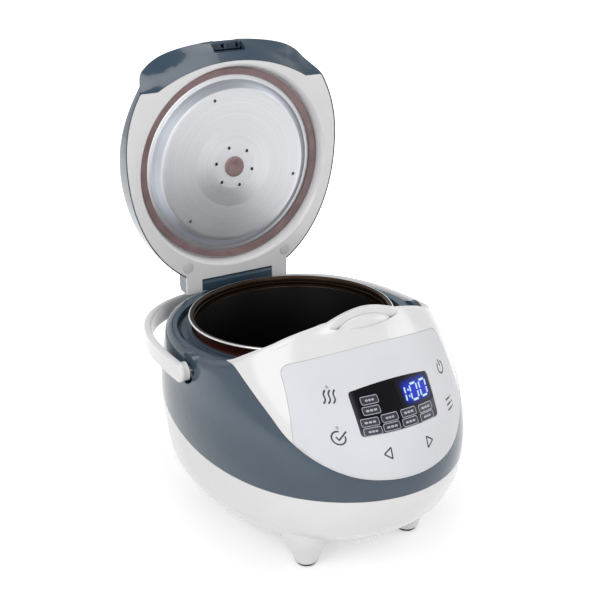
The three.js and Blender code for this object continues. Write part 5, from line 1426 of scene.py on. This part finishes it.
studio = {"floor": 8.0, "white": 1.0, "fill": 0.66, "zenith": 0.5, "front": 0.6, "floorColour": 0.86, "floorGlow": 0.4,
          "glowFar": 1.0, "glowFrom": 0.15, "glowTo": 0.75, "frontDim": 0.8}


def seenDirectly(finish):  # 1 for what the camera, a reflection or glass shows
    rays = finish.add("ShaderNodeLightPath").output.node.outputs
    seen = [Socket(finish, rays[name]) for name in ("Is Camera Ray", "Is Glossy Ray", "Is Transmission Ray")]
    return seen[0].maths("MAXIMUM", seen[0].maths("MAXIMUM", seen[0], seen[1]), seen[2])


def studioFloor():
    alone(None)
    bpy.ops.mesh.primitive_plane_add(size=studio["floor"], location=(0, 0, 0))
    floor = newest("studio_floor")
    finish = Finish("studioFloor", roughness=0.9, specular=0.0)
    cloud = finish.noise(finish.place(), 3, 2)
    shade = studio["floorColour"]
    finish.set(baseColor=finish.mix(cloud, (shade * 0.995,) * 3, (shade,) * 3), emissionStrength=1.0)
    away = radiusAbout(finish, finish.place(), (0, axisY, 0)).ramp(studio["glowFrom"], studio["glowTo"])
    x, y, z = finish.parts(finish.place())
    rays = finish.add("ShaderNodeLightPath").output.node.outputs
    dim = Socket(finish, rays["Is Glossy Ray"]) * (-1 * y).ramp(0.15, 0.7) * studio["frontDim"]
    level = studio["floorGlow"] + (studio["glowFar"] - studio["floorGlow"]) * away
    glow = seenDirectly(finish) * level * (1 - dim)
    finish.set(emissionColor=finish.add("ShaderNodeCombineColor", inputs={0: glow, 1: glow, 2: glow}))
    floor.data.materials.append(finish.material)


def studioWorld():  # white all round for the camera; for the object it is darker overhead and towards the front
    world = bpy.data.worlds.new("studioWorld")
    world.use_nodes = True
    bpy.context.scene.world = world
    finish = Finish.__new__(Finish)
    finish.tree = world.node_tree
    finish.shader = finish.tree.nodes["Background"]
    rays = finish.add("ShaderNodeLightPath").output.node.outputs
    seen, glossy, passing = [Socket(finish, rays[name]) for name in (
        "Is Camera Ray", "Is Glossy Ray", "Is Transmission Ray")]
    x, y, z = finish.parts(finish.add("ShaderNodeTexCoord", output="Generated"))
    overhead = 1 - (1 - studio["zenith"]) * z.ramp(0.1, 0.8)
    ahead = 1 - (1 - studio["front"]) * (-1 * y).ramp(0.3, 0.95)
    shine = glossy.maths("MAXIMUM", glossy, passing)
    level = overhead * ahead * (studio["fill"] + (studio["white"] - studio["fill"]) * shine)
    finish.plug(finish.shader.inputs["Strength"], seen * studio["white"] + (1 - seen) * level)
    finish.shader.inputs["Color"].default_value = (1, 1, 1, 1)


lamps = {
    "key": {"place": (-1.6, -0.8, 1.2), "size": 1.4, "power": 13},
    "side": {"place": (1.6, -0.8, 0.9), "size": 1.0, "power": 5},
    "top": {"place": (0.1, 0.2, 2.0), "size": 1.4, "power": 10},
    "front": {"place": (-0.3, -2.1, 0.7), "size": 1.0, "power": 11},
}


def studioLamps():
    for name, values in lamps.items():
        bpy.ops.object.light_add(type="AREA", location=values["place"])
        lamp = bpy.context.object
        lamp.name = name + "_lamp"
        lamp.data.shape = "DISK"
        lamp.data.size = values["size"]
        lamp.data.energy = values["power"]
        aim = Vector((0, 0, 0.15)) - Vector(values["place"])
        lamp.rotation_euler = aim.to_track_quat("-Z", "Y").to_euler()


viewpoint = {"place": (-0.3942, -0.70202, 0.4808), "turn": -29.28, "down": 20.66, "roll": -1.4, "lens": 65.88}


def studioCamera():
    bpy.ops.object.camera_add(location=viewpoint["place"])
    camera = bpy.context.object
    camera.data.lens = viewpoint["lens"]
    camera.data.sensor_width = 36
    camera.data.clip_start = 0.01
    turned = (Matrix.Rotation(math.radians(viewpoint["turn"]), 4, "Z")
              @ Matrix.Rotation(math.radians(90 - viewpoint["down"]), 4, "X")
              @ Matrix.Rotation(math.radians(viewpoint["roll"]), 4, "Z"))
    camera.matrix_world = Matrix.Translation(viewpoint["place"]) @ turned
    bpy.context.scene.camera = camera


studioFloor()
studioWorld()
studioLamps()
studioCamera()
bpy.context.scene.view_settings.view_transform = "Standard"
print("studio ready")
